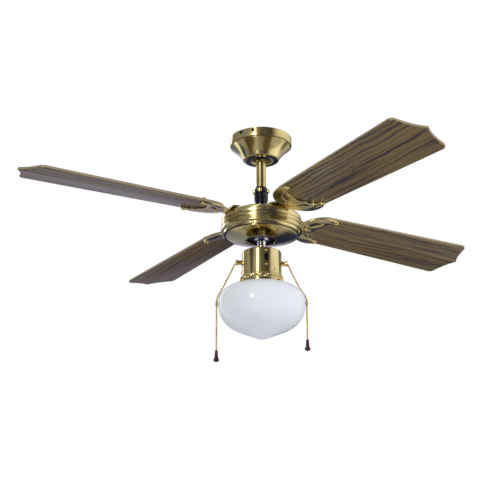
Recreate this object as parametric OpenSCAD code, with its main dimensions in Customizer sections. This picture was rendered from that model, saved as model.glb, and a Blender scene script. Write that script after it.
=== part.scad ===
// Four-blade ceiling fan with a globe light, hung from a ceiling bracket.
// Millimetres, +Z up. The origin is the middle of the bracket's top face, on the ceiling.

/* [Canopy and downrod] */
// Radius of the canopy's collar
canopy_r = 65; // [64:0.5:68]
// Height of the canopy
canopy_h = 49.5; // [48:0.5:54]
// Radius of the canopy's lower mouth
canopy_mouth_r = 22.5; // [21:0.5:26]
// Outer radius of the downrod
rod_r = 10.5; // [10:0.25:11]
// Drop from the ceiling to the top face of the motor
drop = 175; // [170:1:300]

/* [Motor] */
// Radius of the motor housing at its lip
motor_r = 83.5; // [83:0.5:88]
// Depth of the bowl under the rotor
bowl_h = 11.8; // [10:0.2:14]

/* [Blades] */
// Distance from the axis to the blade's pointed tip
blade_reach = 530; // [450:5:560]
// Half of the blade's width at the tip corners
tip_half_w = 62.6; // [56:0.2:66]
// Half of the blade's width at the root
root_half_w = 50; // [47:0.5:52]
// Thickness of the blade
blade_t = 6; // [5:0.5:7]
// Pitch of the blade about its long axis, in degrees
pitch = -11; // [-13:0.5:-8]
// Droop of the blade below level, in degrees
droop = 0.8; // [0:0.1:1.5]
// Direction of the first blade, in degrees
first_blade = -57.7; // [-90:0.1:0]

/* [Switch housing and light] */
// Outer radius of the switch housing
can_r = 40.6; // [40.4:0.1:40.8]
// Largest radius of the glass globe
globe_r = 88; // [86:0.5:89]
// Depth of the globe below its widest line
globe_low = 76; // [74:0.5:78]
// Radius of a pull chain's beads
chain_r = 1.8; // [1.6:0.1:2]

/* [Hidden] */
$fn = 72;
BLADES = 4;
EPS = 0.01;
brass_color = [0.60, 0.50, 0.26];
bright_brass_color = [0.72, 0.60, 0.30];
steel_color = [0.72, 0.72, 0.74];
black_color = [0.06, 0.06, 0.08];
walnut_color = [0.33, 0.22, 0.14];
opal_color = [0.88, 0.89, 0.92];

// canopy, bracket and hanger ball
sheet_t = 1.2;
collar_h = 18;
canopy_low_r = 37;
bracket_turn = -117.2;
bracket_t = 2.5;
bracket_half_w = 21;
tab_r = 63.2;
tab_h = 15;
mount_pcd = 88.9;
mount_hole_r = 2.6;
canopy_screw_turn = 12.8;
canopy_screw_z = -6;
pivot_z = -27;
ball_r = 23.5;
ball_gap = 0.3;
ball_top = 10;
seat_top = -33;
seat_bottom = -42;
seat_r = 29;
rod_wall = 2;
rod_top = -14;
pin_r = 3;
slip = 0.05;

// motor, measured from its top face
coupler_top = 62;
coupler_r = 14.4;
coupler_waist_r = 11.4;
coupler_screw_z = 55;
rod_seat = 38;
clevis_z = 46;
clevis_r = 2.5;
shaft_r = 8;
shaft_bore_r = 4.6;
shaft_low = -47;
bearing_r = 17.45;
bearing_h = 11;
upper_bearing_z = -4.3;
lower_bearing_z = -43;
boss_r = 21.5;
boss_top = 7;
shoulder_r = 8.5;
lip_z = -35;
wall_in_r = 79.5;
stator_r = 52;
stator_top = -13;
stator_h = 17;
teeth = 12;
rim_r = 78.5;
rim_in_r = 71.3;
rim_low = -41.5;
bowl_r = 73;
bowl_mouth_r = 29;
cover_screw_z = -38.5;

// blade irons and blades
iron_t = 3.2;
foot_lobe_r = 7;
foot_side_v = 19;
foot_half_w = 26;
neck_half_w = 22;
plate_start = 92;
horn_centre_u = 141;
horn_r = 52.5;
foot_screw = [67, 11];
horn_screw = [160, 43];
root_screw_u = 108;
screw_r = 2.4;
head_r = 4.2;
head_h = 2.6;
root_centre_u = 148;
tip_corner_u = 505;
tip_corner_r = 11;

// light kit, measured from the motor's top face
plate_r = 24;
plate_low = -49.5;
nipple_r = 8.4;
nipple_low = -88;
nut_low = -56;
can_top = -78.7;
can_low = -131;
can_wall = 1;
switch_turn = -76.5;
switch_z = -100.6;
switch_screw_dz = 14.75;
slider_travel = 7;
chain_turns = [186, 6];
bell_z = -101.7;
bell_low_r = 40.7;
bell_mouth = 52.6;
chain_start = 53.2;
can_screw_turns = [-50, 70, 190];
can_screw_z = -124;
pan_r = 42;
pan_in_r = 41.3;
pan_low = -147.7;
rope_r = 43.2;
thumb_turns = [-35, 85, 205];
thumb_z = -144.5;
thumb_r = 2;
neck_r = 38.9;
glass_t = 2.5;
globe_z = -185.5;
globe_up = 40.5;
globe_body_low = 63;
oval_power = 0.83;
lamp_low = -165;
bulb_r = 27;

// where each chain hangs, clear of the globe
chain_hang_r = 91.5;
pendant_left_top = -286;
pendant_right_top = -260;

// each chain's route: distance from the axis and height from the motor's top face
chain_left_route = concat([
    [54, -103.4], [57.6, -111], [61.2, -118.5], [64.8, -126], [68.5, -133.5], [72.2, -141], [75.9, -148.5],
    [79.7, -156], [83.6, -163.5], [87, -170], [89.6, -175.5], [91.2, -181]],
    [for (z = [-187:-8:-275]) [chain_hang_r, z]],
    [[chain_hang_r, -280], [chain_hang_r, pendant_left_top]]);
chain_right_route = concat([
    [54, -103.4], [57, -110.5], [60.5, -118], [64, -125.5], [67.5, -133], [71, -140.5], [75, -148],
    [79.5, -155.5], [84, -162.5], [88.5, -169], [91, -175]],
    [for (z = [-181:-8:-253]) [chain_hang_r, z]],
    [[chain_hang_r, pendant_right_top]]);
connector_left_z = -191;
connector_right_z = -184;
connector_h = 6;

// ---- helpers ----

// Points on an arc about a centre, from one angle to another.
function arc(c, r, a0, a1, n) = [
    for (i = [0:n]) let (a = a0 + (a1 - a0) * i / n) c + r * [cos(a), sin(a)]];

// Points on a quarter or more of an ellipse about the axis at height z.
// The turn at which a squarish oval reaches a part of its half width.
function oval_turn(part) = acos(pow(part, 1 / oval_power));

// A squarish oval's curve; a power below 1 makes its shoulders fuller than an ellipse's.
function oval(rx, rz, z, a0, a1, n) = [
    for (i = [0:n]) let (a = a0 + (a1 - a0) * i / n)
        [rx * pow(cos(a), oval_power), z + rz * sign(a) * pow(abs(sin(a)), oval_power)]];

module at_motor() {
    translate([0, 0, -drop])
        children();
}

// Moves children to a direction, a distance out and a height, facing out along +X.
module facing_out(turn, out, z) {
    rotate([0, 0, turn])
        translate([out, 0, z])
            children();
}

// A rod along +X from x = 0.
module rod_x(r, length) {
    rotate([0, 90, 0])
        cylinder(r = r, h = length, $fn = 32);
}

// A pan-head screw pointing along -X: its head lies from x = 0 outwards, its shank goes inwards.
module pan_screw_x(head, head_h, shank, length) {
    rotate([0, 90, 0])
        rotate_extrude($fn = 32)
            polygon([[0, -length], [shank, -length], [shank, 0], [head, 0], [head, head_h * 0.45],
                [head * 0.72, head_h * 0.88], [head * 0.3, head_h], [0, head_h]]);
}

module tube(r_out, r_in, z0, z1) {
    rotate_extrude()
        polygon([[r_in, z0], [r_out, z0], [r_out, z1], [r_in, z1]]);
}

// A chain's plain tube along a route of distances and heights in one upright plane.
module swept_chain(route, r) {
    sides = 8;
    n = len(route);
    ahead = [for (i = [0:n - 1]) let (a = route[max(i - 1, 0)], b = route[min(i + 1, n - 1)])
        (b - a) / norm(b - a)];
    rings = [for (i = [0:n - 1], k = [0:sides - 1]) let (t = 360 * k / sides)
        [route[i][0] - ahead[i][1] * r * cos(t), r * sin(t), route[i][1] + ahead[i][0] * r * cos(t)]];
    walls = [for (i = [0:n - 2], k = [0:sides - 1]) let (j = (k + 1) % sides)
        [i * sides + k, i * sides + j, (i + 1) * sides + j, (i + 1) * sides + k]];
    start = [[for (k = [0:sides - 1]) sides - 1 - k]];
    finish = [[for (k = [0:sides - 1]) (n - 1) * sides + k]];
    polyhedron(points = rings, faces = concat(start, walls, finish), convexity = 4);
}

// ---- ceiling bracket and canopy ----

module ceiling_bracket() {
    color(steel_color)
        rotate([0, 0, bracket_turn])
            difference() {
                union() {
                    intersection() {
                        tube(tab_r, 18, -bracket_t, 0);
                        translate([-tab_r, -bracket_half_w, -bracket_t])
                            cube([2 * tab_r, 2 * bracket_half_w, bracket_t]);
                    }
                    intersection() {
                        tube(tab_r, tab_r - bracket_t, -tab_h, 0);
                        translate([-tab_r, -bracket_half_w, -tab_h])
                            cube([2 * tab_r, 2 * bracket_half_w, tab_h]);
                    }
                    for (side = [-1, 1])
                        translate([-10, side > 0 ? 26.5 : -29, seat_bottom + 2])
                            cube([20, 2.5, -seat_bottom - 2]);
                    for (side = [-1, 1])
                        translate([-10, side > 0 ? 20 : -30, -bracket_t])
                            cube([20, 10, bracket_t]);
                    translate([0, 0, seat_bottom])
                        cylinder(r = seat_r, h = seat_top - seat_bottom);
                }
                translate([0, 0, pivot_z])
                    sphere(r = ball_r + ball_gap, $fn = 96);
                translate([0, 0, seat_bottom - 1])
                    cylinder(r = 17, h = 12);
                for (end = [-1, 1])
                    translate([end * mount_pcd / 2, 0, -bracket_t - 1])
                        cylinder(r = mount_hole_r, h = bracket_t + 2, $fn = 32);
                for (end = [0, 180], side = [-1, 1])
                    facing_out(end + side * canopy_screw_turn, tab_r - 6, canopy_screw_z)
                        rod_x(2 + slip, 12);
            }
}

// Connector strip for the mains wires, on the bracket's side strap.
module terminal_block() {
    color(opal_color)
        rotate([0, 0, bracket_turn])
            difference() {
                translate([-14, 29, -26])
                    cube([28, 12, 16]);
                for (x = [-9, 0, 9])
                    translate([x, 28, -22])
                        rotate([-90, 0, 0])
                            cylinder(r = 2, h = 14, $fn = 24);
            }
}

module canopy() {
    steps = 8;
    top_r = canopy_r - 2;
    top_z = -collar_h - 1.5;
    hollow = 2.8;
    sweep = [for (i = [0:steps]) let (t = i / steps)
        [top_r - (top_r - canopy_low_r) * t - hollow * sin(180 * t), top_z - (canopy_h + top_z) * t]];
    collar = [[canopy_r, 0], [canopy_r, -collar_h + 1.2], [canopy_r - 1.2, -collar_h],
        [canopy_r - 2.2, -collar_h]];
    lip = [[canopy_mouth_r, -canopy_h], [canopy_mouth_r, -canopy_h + sheet_t]];
    inner = [for (i = [steps:-1:0]) [sweep[i][0] - sheet_t - 0.3, sweep[i][1] + (i == steps ? sheet_t : 0)]];
    collar_inside = [
        [canopy_r - sheet_t - 1.8, -collar_h + 1], [canopy_r - sheet_t, -collar_h + 2],
        [canopy_r - sheet_t, 0]];
    color(brass_color)
        difference() {
            rotate_extrude($fn = 96)
                polygon(concat(collar, sweep, lip, inner, collar_inside));
            for (end = [0, 180], side = [-1, 1])
                facing_out(bracket_turn + end + side * canopy_screw_turn, canopy_r - 3, canopy_screw_z)
                    rod_x(2.2, 6);
            // bayonet slots beside two of the screws
            for (end = [0, 180])
                rotate([0, 0, bracket_turn + end - canopy_screw_turn])
                    translate([canopy_r - 3, 0, canopy_screw_z - 2.2])
                        cube([6, 8, 4.4]);
        }
}

module canopy_screws() {
    color(steel_color)
        for (end = [0, 180], side = [-1, 1])
            facing_out(bracket_turn + end + side * canopy_screw_turn, canopy_r + 0.1, canopy_screw_z)
                pan_screw_x(3.4, 2.2, 2, 5);
}

// ---- hanger and downrod ----

module hanger_ball() {
    color(black_color)
        translate([0, 0, pivot_z])
            difference() {
                intersection() {
                    sphere(r = ball_r, $fn = 96);
                    translate([0, 0, -ball_r])
                        cylinder(r = ball_r, h = ball_r + ball_top);
                }
                translate([0, 0, -ball_r - 1])
                    cylinder(r = rod_r + slip, h = 2 * ball_r);
                translate([-ball_r, 0, -3])
                    rod_x(pin_r + slip, 2 * ball_r);
            }
}

module hanger_pin() {
    color(steel_color)
        translate([-21, 0, pivot_z - 3])
            rod_x(pin_r, 42);
}

module downrod() {
    color(brass_color)
        difference() {
            tube(rod_r, rod_r - rod_wall, -drop + rod_seat, rod_top);
            translate([-15, 0, pivot_z - 3])
                rod_x(pin_r + slip, 30);
            facing_out(first_blade, -15, -drop + clevis_z)
                rod_x(clevis_r + slip, 30);
        }
}

module coupler() {
    grooves = 5;
    color(black_color)
        at_motor()
            difference() {
                rotate_extrude()
                    polygon([[shaft_r + slip, boss_top], [coupler_waist_r, boss_top], [coupler_waist_r, 28],
                        [coupler_r - 0.4, 34], [coupler_r, 35], [coupler_r, 57], [11.7, coupler_top],
                        [rod_r + slip, coupler_top], [rod_r + slip, rod_seat],
                        [shaft_r + slip, rod_seat - EPS]]);
                for (i = [0:grooves - 1])
                    translate([0, 0, 36 + 2.8 * i])
                        tube(coupler_r + 1, coupler_r - 0.9, 0, 1.3);
                for (k = [0:3])
                    facing_out(first_blade - 45 + 90 * k, 8, coupler_screw_z)
                        rod_x(2.5 + slip, 12);
                facing_out(first_blade, -18, clevis_z)
                    rod_x(clevis_r + slip, 36);
            }
}

module coupler_screws() {
    color(bright_brass_color)
        at_motor()
            for (k = [0:3])
                facing_out(first_blade - 45 + 90 * k, coupler_r + 0.1, coupler_screw_z)
                    pan_screw_x(4.8, 3.2, 2.5, coupler_r - rod_r);
}

module clevis_pin() {
    color(steel_color)
        at_motor()
            facing_out(first_blade, -13.4, clevis_z)
                rod_x(clevis_r, 26.8);
}

module motor_shaft() {
    color(steel_color)
        at_motor()
            tube(shaft_r, shaft_bore_r, shaft_low, rod_seat - 0.5);
}

// ---- motor ----

module bearing_at(z) {
    color(steel_color)
        at_motor()
            rotate_extrude()
                polygon([[shaft_r + slip, z], [bearing_r, z], [bearing_r, z + bearing_h], [15, z + bearing_h],
                    [14.4, z + bearing_h - 0.8], [11.2, z + bearing_h - 0.8], [10.6, z + bearing_h],
                    [shaft_r + slip, z + bearing_h]]);
}

module upper_bearing() {
    bearing_at(upper_bearing_z);
}

module lower_bearing() {
    bearing_at(lower_bearing_z);
}

module stator_core() {
    color(steel_color)
        at_motor()
            translate([0, 0, stator_top - stator_h])
                difference() {
                    union() {
                        cylinder(r = 25, h = stator_h);
                        for (k = [0:teeth - 1])
                            rotate([0, 0, 360 * k / teeth]) {
                                translate([20, -3, 0])
                                    cube([30, 6, stator_h]);
                                intersection() {
                                    tube(stator_r, 48, 0, stator_h);
                                    translate([40, -10, 0])
                                        cube([20, 20, stator_h]);
                                }
                            }
                    }
                    translate([0, 0, -1])
                        cylinder(r = shaft_r + slip, h = stator_h + 2);
                }
}

module stator_windings() {
    overhang = 2;
    color([0.62, 0.33, 0.16])
        at_motor()
            difference() {
                tube(47.5, 26, stator_top - stator_h - overhang, stator_top + overhang);
                for (k = [0:teeth - 1])
                    rotate([0, 0, 360 * k / teeth])
                        translate([20, -3.3, stator_top - stator_h - 0.2])
                            cube([32, 6.6, stator_h + 0.4]);
            }
}

module motor_housing() {
    shoulder = arc([motor_r - 1.2 - shoulder_r, -shoulder_r], shoulder_r, 90, 0, 8);
    bands = [[motor_r - 1.2, -15.2], [motor_r - 2.4, -15.8], [motor_r - 2.4, -16.8], [motor_r - 0.6, -17.4],
        [motor_r - 0.6, -23.6], [motor_r - 1.8, -24.2], [motor_r - 1.8, -25.2], [motor_r, -25.8],
        [motor_r, -31.2], [motor_r + 0.6, -32], [motor_r + 0.6, lip_z + 0.6], [motor_r, lip_z]];
    crown = [[boss_r - 3.95, boss_top], [boss_r, boss_top], [boss_r + 3, boss_top - 1], [34, 1.4], [42, 0]];
    color(brass_color)
        at_motor()
            difference() {
                rotate_extrude($fn = 120)
                    polygon(concat(crown, shoulder, bands, [[wall_in_r, lip_z], [wall_in_r, -10], [74, -2.6],
                        [boss_r, -2.6], [boss_r, -6], [bearing_r + slip, -6]]));
                for (k = [0:15])
                    rotate([0, 0, first_blade + 360 * (k + 0.5) / 16])
                        translate([31, -2, -4])
                            cube([16, 4, 12]);
                for (k = [0:BLADES - 1], side = [-1, 1])
                    rotate([0, 0, first_blade + 90 * k])
                        translate([foot_screw[0], side * foot_screw[1], -4])
                            cylinder(r = screw_r + slip, h = 6, $fn = 32);
            }
}

module rotor_ring() {
    color(steel_color)
        at_motor()
            tube(wall_in_r - slip, stator_r + 1, stator_top - stator_h - 1, stator_top + 1);
}

module rotor_base() {
    color(black_color)
        at_motor()
            difference() {
                rotate_extrude($fn = 96)
                    polygon([[bearing_r + slip, lower_bearing_z + bearing_h + 0.5],
                        [boss_r, lower_bearing_z + bearing_h + 0.5],
                        [boss_r, -32.4], [wall_in_r - slip, -32.4], [wall_in_r - slip, lip_z],
                        [rim_r + 0.7, lip_z],
                        [rim_r, lip_z - 0.8], [rim_r, rim_low], [rim_in_r, rim_low], [rim_in_r, lip_z],
                        [boss_r, lip_z], [boss_r, lower_bearing_z], [bearing_r + slip, lower_bearing_z]]);
                for (k = [0:BLADES - 1])
                    facing_out(first_blade + 45 + 90 * k, 68, cover_screw_z)
                        rod_x(1.6, 14);
            }
}

module bowl_cover() {
    wall = 1.4;
    steps = 10;
    dish = [for (i = [0:steps]) let (t = i / steps)
        [bowl_r - (bowl_r - bowl_mouth_r - 3) * t, rim_low - 1 - (bowl_h - 1) * sin(90 * pow(t, 0.85))]];
    inner = [for (i = [steps:-1:0]) [dish[i][0] - 0.5, dish[i][1] + wall]];
    color(brass_color)
        at_motor()
            difference() {
                rotate_extrude($fn = 96)
                    polygon(concat([[rim_in_r - 1.5, lip_z - 0.5], [rim_in_r - 0.1, lip_z - 0.5]],
                        [[rim_in_r - 0.1, rim_low - 0.05], [bowl_r, rim_low - 0.05]],
                        dish, [[bowl_mouth_r, rim_low - bowl_h + 0.3],
                            [bowl_mouth_r, rim_low - bowl_h + wall + 0.2]],
                        inner, [[rim_in_r - 1.5, rim_low - 1]]));
                for (k = [0:BLADES - 1])
                    facing_out(first_blade + 45 + 90 * k, 66, cover_screw_z)
                        rod_x(1.6, 10);
            }
}

module cover_screws() {
    color(bright_brass_color)
        at_motor()
            for (k = [0:BLADES - 1])
                facing_out(first_blade + 45 + 90 * k, rim_r + 0.1, cover_screw_z)
                    pan_screw_x(3, 2, 1.5, 11);
}

// ---- blade irons and blades ----

// Puts children in a blade's own frame: +X out along the blade, +Z out of its top face.
module on_blade(k) {
    at_motor()
        rotate([pitch, droop, first_blade + 90 * k])
            children();
}

// The iron's foot, flat on top of the drum.
module iron_foot_outline() {
    for (at = [[59, 0], [60, foot_side_v], [60, -foot_side_v]])
        translate(at)
            circle(r = foot_lobe_r);
    translate([53, -foot_side_v])
        square([8, 2 * foot_side_v]);
    polygon([[60, -foot_half_w], [74, -foot_half_w], [81, -neck_half_w],
        [81, neck_half_w], [74, foot_half_w], [60, foot_half_w]]);
}

// The iron's crescent under the blade's root, with two curved slots.
module iron_plate_outline() {
    difference() {
        intersection() {
            union() {
                translate([horn_centre_u, 0])
                    circle(r = horn_r, $fn = 96);
                translate([plate_start, -neck_half_w])
                    square([12, 2 * neck_half_w]);
            }
            translate([plate_start, -60])
                square([74, 120]);
        }
        translate([158, 0])
            circle(r = 25);
        for (side = [-1, 1])
            translate([157, side * 19])
                circle(r = 17);
        translate([158, -36])
            square([60, 72]);
        for (side = [-1, 1])
            hull() {
                translate([116, side * 11])
                    circle(r = 1.6, $fn = 16);
                translate([123, side * 23])
                    circle(r = 3.2, $fn = 24);
                translate([133, side * 31])
                    circle(r = 1.6, $fn = 16);
            }
        for (at = [[root_screw_u, 0], horn_screw, [horn_screw[0], -horn_screw[1]]])
            translate(at)
                circle(r = screw_r + slip, $fn = 32);
    }
}

module blade_iron(k) {
    plate_z = -blade_t / 2 - iron_t;
    inset = 0.15;
    neck_t = iron_t - 2 * inset;
    neck_w = 2 * neck_half_w - 4 * inset;
    color(brass_color) {
        at_motor()
            rotate([0, 0, first_blade + 90 * k]) {
                linear_extrude(iron_t)
                    difference() {
                        iron_foot_outline();
                        for (side = [-1, 1])
                            translate([foot_screw[0], side * foot_screw[1]])
                                circle(r = screw_r + slip, $fn = 32);
                    }
                hull() {
                    translate([78, -neck_w / 2, inset])
                        cube([1, neck_w, neck_t]);
                    rotate([pitch, droop, 0])
                        translate([plate_start + 2, -neck_w / 2, plate_z + inset])
                            cube([1, neck_w, neck_t]);
                }
            }
        on_blade(k)
            translate([0, 0, plate_z])
                linear_extrude(iron_t)
                    iron_plate_outline();
    }
}

module blade_iron_1() { blade_iron(0); }
module blade_iron_2() { blade_iron(1); }
module blade_iron_3() { blade_iron(2); }
module blade_iron_4() { blade_iron(3); }

module iron_screws() {
    color(bright_brass_color)
        at_motor()
            for (k = [0:BLADES - 1], side = [-1, 1])
                rotate([0, 0, first_blade + 90 * k])
                    translate([foot_screw[0], side * foot_screw[1], iron_t + 0.02])
                        rotate([0, -90, 0])
                            pan_screw_x(head_r, 3, screw_r, iron_t + 2.4);
}

// The blade seen from above: a round root, straight flaring sides and an ogee tip with a point.
module blade_outline() {
    slope = atan((tip_half_w - root_half_w) / (tip_corner_u - root_centre_u));
    tip_steps = 8;
    corner_centre = [tip_corner_u - tip_corner_r + 3, tip_half_w - tip_corner_r];
    corner = arc(corner_centre, tip_corner_r, 90 + slope, 18, 6);
    start_u = corner[6][0];
    start_v = corner[6][1];
    ogee = [for (i = [1:tip_steps]) let (t = i / tip_steps)
        [start_u + (blade_reach - start_u) * (0.55 * t + 0.45 * pow(t, 3)), start_v * (1 - t)]];
    upper = concat(arc([root_centre_u, 0], root_half_w, 180, 90 + slope, 16), corner, ogee);
    lower = [for (i = [len(upper) - 2:-1:1]) [upper[i][0], -upper[i][1]]];
    polygon(concat(upper, lower));
}

module blade(k) {
    color(walnut_color)
        on_blade(k)
            translate([0, 0, -blade_t / 2 + EPS])
                difference() {
                    linear_extrude(blade_t - EPS)
                        blade_outline();
                    for (side = [-1, 1])
                        translate([horn_screw[0], side * horn_screw[1], -1])
                            cylinder(r = screw_r + slip, h = blade_t + 2, $fn = 32);
                    translate([root_screw_u, 0, -1])
                        cylinder(r = screw_r + slip, h = blade_t + 2, $fn = 32);
                }
}

module blade_1() { blade(0); }
module blade_2() { blade(1); }
module blade_3() { blade(2); }
module blade_4() { blade(3); }

// Places children at the three screw places of every blade.
module at_blade_screws() {
    for (k = [0:BLADES - 1], at = [[root_screw_u, 0], horn_screw, [horn_screw[0], -horn_screw[1]]])
        on_blade(k)
            translate([at[0], at[1], 0])
                children();
}

module blade_screws() {
    color(bright_brass_color)
        at_blade_screws()
            translate([0, 0, -blade_t / 2 - iron_t - 0.02])
                rotate([0, 90, 0])
                    pan_screw_x(head_r, head_h, screw_r, iron_t + blade_t + 2.5);
}

module blade_nuts() {
    color(bright_brass_color)
        at_blade_screws()
            translate([0, 0, blade_t / 2 + 0.05])
                difference() {
                    union() {
                        cylinder(r = 4.4, h = 2.4, $fn = 6);
                        cylinder(r = 3.2, h = 3.8, $fn = 24);
                    }
                    translate([0, 0, -1])
                        cylinder(r = screw_r + slip, h = 3.6, $fn = 32);
                }
}

// ---- joint between motor and switch housing ----

module lower_plate() {
    color(black_color)
        at_motor()
            tube(plate_r, shaft_bore_r, plate_low, shaft_low);
}

module lock_washer() {
    teeth_count = 14;
    color(steel_color)
        at_motor()
            translate([0, 0, plate_low - 1.3])
                difference() {
                    union() {
                        cylinder(r = 14, h = 1.2);
                        for (k = [0:teeth_count - 1])
                            rotate([0, 0, 360 * k / teeth_count])
                                translate([12, -1.4, 0])
                                    cube([4.6, 2.8, 1.2]);
                    }
                    translate([0, 0, -1])
                        cylinder(r = nipple_r + slip, h = 4);
                }
}

module nipple() {
    color(steel_color)
        at_motor()
            tube(nipple_r, 5, nipple_low, plate_low);
}

module nipple_nuts() {
    color(steel_color)
        at_motor()
            for (z = [nut_low, can_top - can_wall - 0.4 - 5])
                translate([0, 0, z])
                    difference() {
                        cylinder(r = 13, h = plate_low - 1.4 - nut_low, $fn = 6);
                        translate([0, 0, -1])
                            cylinder(r = nipple_r + slip, h = 8);
                    }
}

// ---- switch housing ----

module switch_housing() {
    corner_r = 3;
    color(bright_brass_color)
        at_motor()
            difference() {
                rotate_extrude($fn = 96)
                    polygon(concat([[nipple_r + slip, can_top]],
                        arc([can_r - corner_r, can_top - corner_r], corner_r, 90, 0, 5),
                        [[can_r, can_low], [can_r - can_wall, can_low],
                        [can_r - can_wall, can_top - corner_r]],
                        [[can_r - corner_r, can_top - can_wall], [nipple_r + slip, can_top - can_wall]]));
                facing_out(switch_turn, can_r - 4, switch_z)
                    translate([0, -3.9, -7.5])
                        cube([8, 7.8, 15]);
                for (dz = [-1, 1])
                    facing_out(switch_turn, can_r - 4, switch_z + dz * switch_screw_dz)
                        rod_x(1.5, 8);
                for (turn = chain_turns)
                    facing_out(turn, can_r - 4, bell_z)
                        rod_x(3.6, 8);
                for (turn = can_screw_turns)
                    facing_out(turn, can_r - 4, can_screw_z)
                        rod_x(1.6, 8);
            }
}

module switch_housing_screws() {
    color(bright_brass_color)
        at_motor()
            for (turn = can_screw_turns)
                facing_out(turn, can_r + 0.1, can_screw_z)
                    pan_screw_x(2.8, 1.8, 1.5, 5);
}

module reverse_switch() {
    face = 38.3;
    color(black_color)
        at_motor()
            facing_out(switch_turn, 0, switch_z)
                difference() {
                    translate([face - 7, -8.5, -18])
                        cube([7, 17, 36]);
                    translate([face - 4, -1.3, -6.5])
                        cube([5, 2.6, 13]);
                    for (dz = [-1, 1])
                        translate([face - 8, 0, dz * switch_screw_dz])
                            rod_x(1.45, 9);
                }
}

module reverse_switch_screws() {
    color(bright_brass_color)
        at_motor()
            for (dz = [-1, 1])
                facing_out(switch_turn, can_r + 0.1, switch_z + dz * switch_screw_dz)
                    pan_screw_x(2.5, 1.6, 1.4, 6);
}

// The reversing switch's slider, at the low end of its travel.
module reverse_slider() {
    color(black_color)
        at_motor()
            facing_out(switch_turn, 0, switch_z - slider_travel / 2) {
                translate([38.4, -2.7, -2.7])
                    cube([3.8, 5.4, 5.4]);
                translate([35.2, -1, -1.5])
                    cube([3.4, 2, 3]);
            }
}

module pull_switches() {
    color(black_color)
        at_motor()
            for (turn = chain_turns)
                facing_out(turn, 0, bell_z)
                    difference() {
                        union() {
                            translate([18, -9, -10])
                                cube([15, 18, 20]);
                            translate([33, 0, 0])
                                rod_x(6.5, 2.9);
                        }
                        translate([17, 0, 0])
                            rod_x(2.4, 20);
                    }
}

module chain_bells() {
    color(bright_brass_color)
        at_motor()
            for (turn = chain_turns)
                facing_out(turn, 0, bell_z) {
                    rotate([0, 90, 0])
                        rotate_extrude($fn = 48)
                            polygon([[2.1, 36], [3.5, 36], [3.5, bell_low_r], [5.4, bell_low_r],
                                [5.4, bell_low_r + 2.4],
                                [4.1, bell_low_r + 2.8], [4.4, 47], [5.2, 50], [6.2, bell_mouth - 0.4],
                                [6, bell_mouth],
                                [5, bell_mouth], [3.2, 49], [2.1, 46]]);
                }
}

// The stem that a chain pulls, with a small ball at its outer end.
module pull_actuator(turn) {
    color(bright_brass_color)
        at_motor()
            facing_out(turn, 0, bell_z) {
                translate([24, 0, 0])
                    rod_x(1.1, chain_start - 24);
                translate([23, 0, 0])
                    rod_x(2, 3);
                translate([chain_start, 0, 0])
                    sphere(r = 1.7, $fn = 32);
            }
}

module pull_actuator_left() { pull_actuator(chain_turns[0]); }
module pull_actuator_right() { pull_actuator(chain_turns[1]); }

// Motor run capacitor, standing in the back of the switch housing.
module capacitor() {
    color([0.85, 0.85, 0.82])
        at_motor()
            rotate([0, 0, 96])
                translate([18, -15, can_top - 42])
                    cube([14, 30, 26]);
}

// ---- light kit ----

module fitter_pan() {
    color(bright_brass_color)
        at_motor()
            difference() {
                rotate_extrude($fn = 96)
                    polygon([[6, can_low - 2], [pan_in_r, can_low - 2], [pan_in_r, pan_low],
                        [pan_r + 1, pan_low],
                        [pan_r + 1.3, pan_low + 0.6], [pan_r + 1.3, pan_low + 1.6], [pan_r, pan_low + 2.4],
                        [pan_r, can_low], [can_r - can_wall - 0.1, can_low],
                        [can_r - can_wall - 0.1, can_low + 11.5],
                        [can_r - can_wall - 1.3, can_low + 11.5], [can_r - can_wall - 1.3, can_low],
                        [6, can_low]]);
                for (turn = can_screw_turns)
                    facing_out(turn, can_r - 6, can_screw_z)
                        rod_x(1.55, 6);
                for (turn = thumb_turns)
                    facing_out(turn, pan_in_r - 3, thumb_z)
                        rod_x(thumb_r + slip, 8);
            }
}

// Embossed twisted-rope band round the fitter.
module rope_band() {
    color(bright_brass_color)
        at_motor()
            difference() {
                rotate_extrude($fn = 96)
                    polygon([[pan_r + slip, -145], [rope_r - 0.6, -145], [rope_r, -143], [rope_r, -133.5],
                        [rope_r - 0.6, -131.6], [pan_r + slip, -131.6]]);
                for (turn = thumb_turns)
                    facing_out(turn, pan_r - 2, thumb_z)
                        rod_x(thumb_r + 0.3, 8);
            }
}

module thumbscrew(turn) {
    tip_out = neck_r + 0.3;
    head_out = rope_r + 0.6;
    color(bright_brass_color)
        at_motor()
            facing_out(turn, 0, thumb_z)
                rotate([0, 90, 0])
                    rotate_extrude($fn = 32)
                        polygon([[0, tip_out], [thumb_r - 0.5, tip_out], [thumb_r, tip_out + 0.6],
                            [thumb_r, head_out],
                            [2.7, head_out], [2.9, head_out + 0.6], [2.9, head_out + 4],
                            [2.4, head_out + 4.8], [0, head_out + 4.8]]);
}

module thumbscrew_1() { thumbscrew(thumb_turns[0]); }
module thumbscrew_2() { thumbscrew(thumb_turns[1]); }
module thumbscrew_3() { thumbscrew(thumb_turns[2]); }

module lamp_holder() {
    socket_r = 13.6;
    color(opal_color)
        at_motor()
            rotate_extrude()
                polygon([[4, can_low - 2.05], [17, can_low - 2.05], [19, can_low - 5], [19, lamp_low + 2],
                    [18, lamp_low],
                    [socket_r, lamp_low], [socket_r, can_low - 7], [4, can_low - 7]]);
}

module bulb() {
    top = can_low - 8;
    base_r = 13.2;
    ball_z = -205;
    color([0.95, 0.95, 0.92])
        at_motor()
            rotate_extrude()
                polygon(concat([[0, top], [5, top], [base_r - 1, top - 4], [base_r, top - 6],
                    [base_r, lamp_low - 2],
                    [base_r + 1.5, lamp_low - 7]], arc([0, ball_z], bulb_r, 48, -90, 16)));
}

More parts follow.
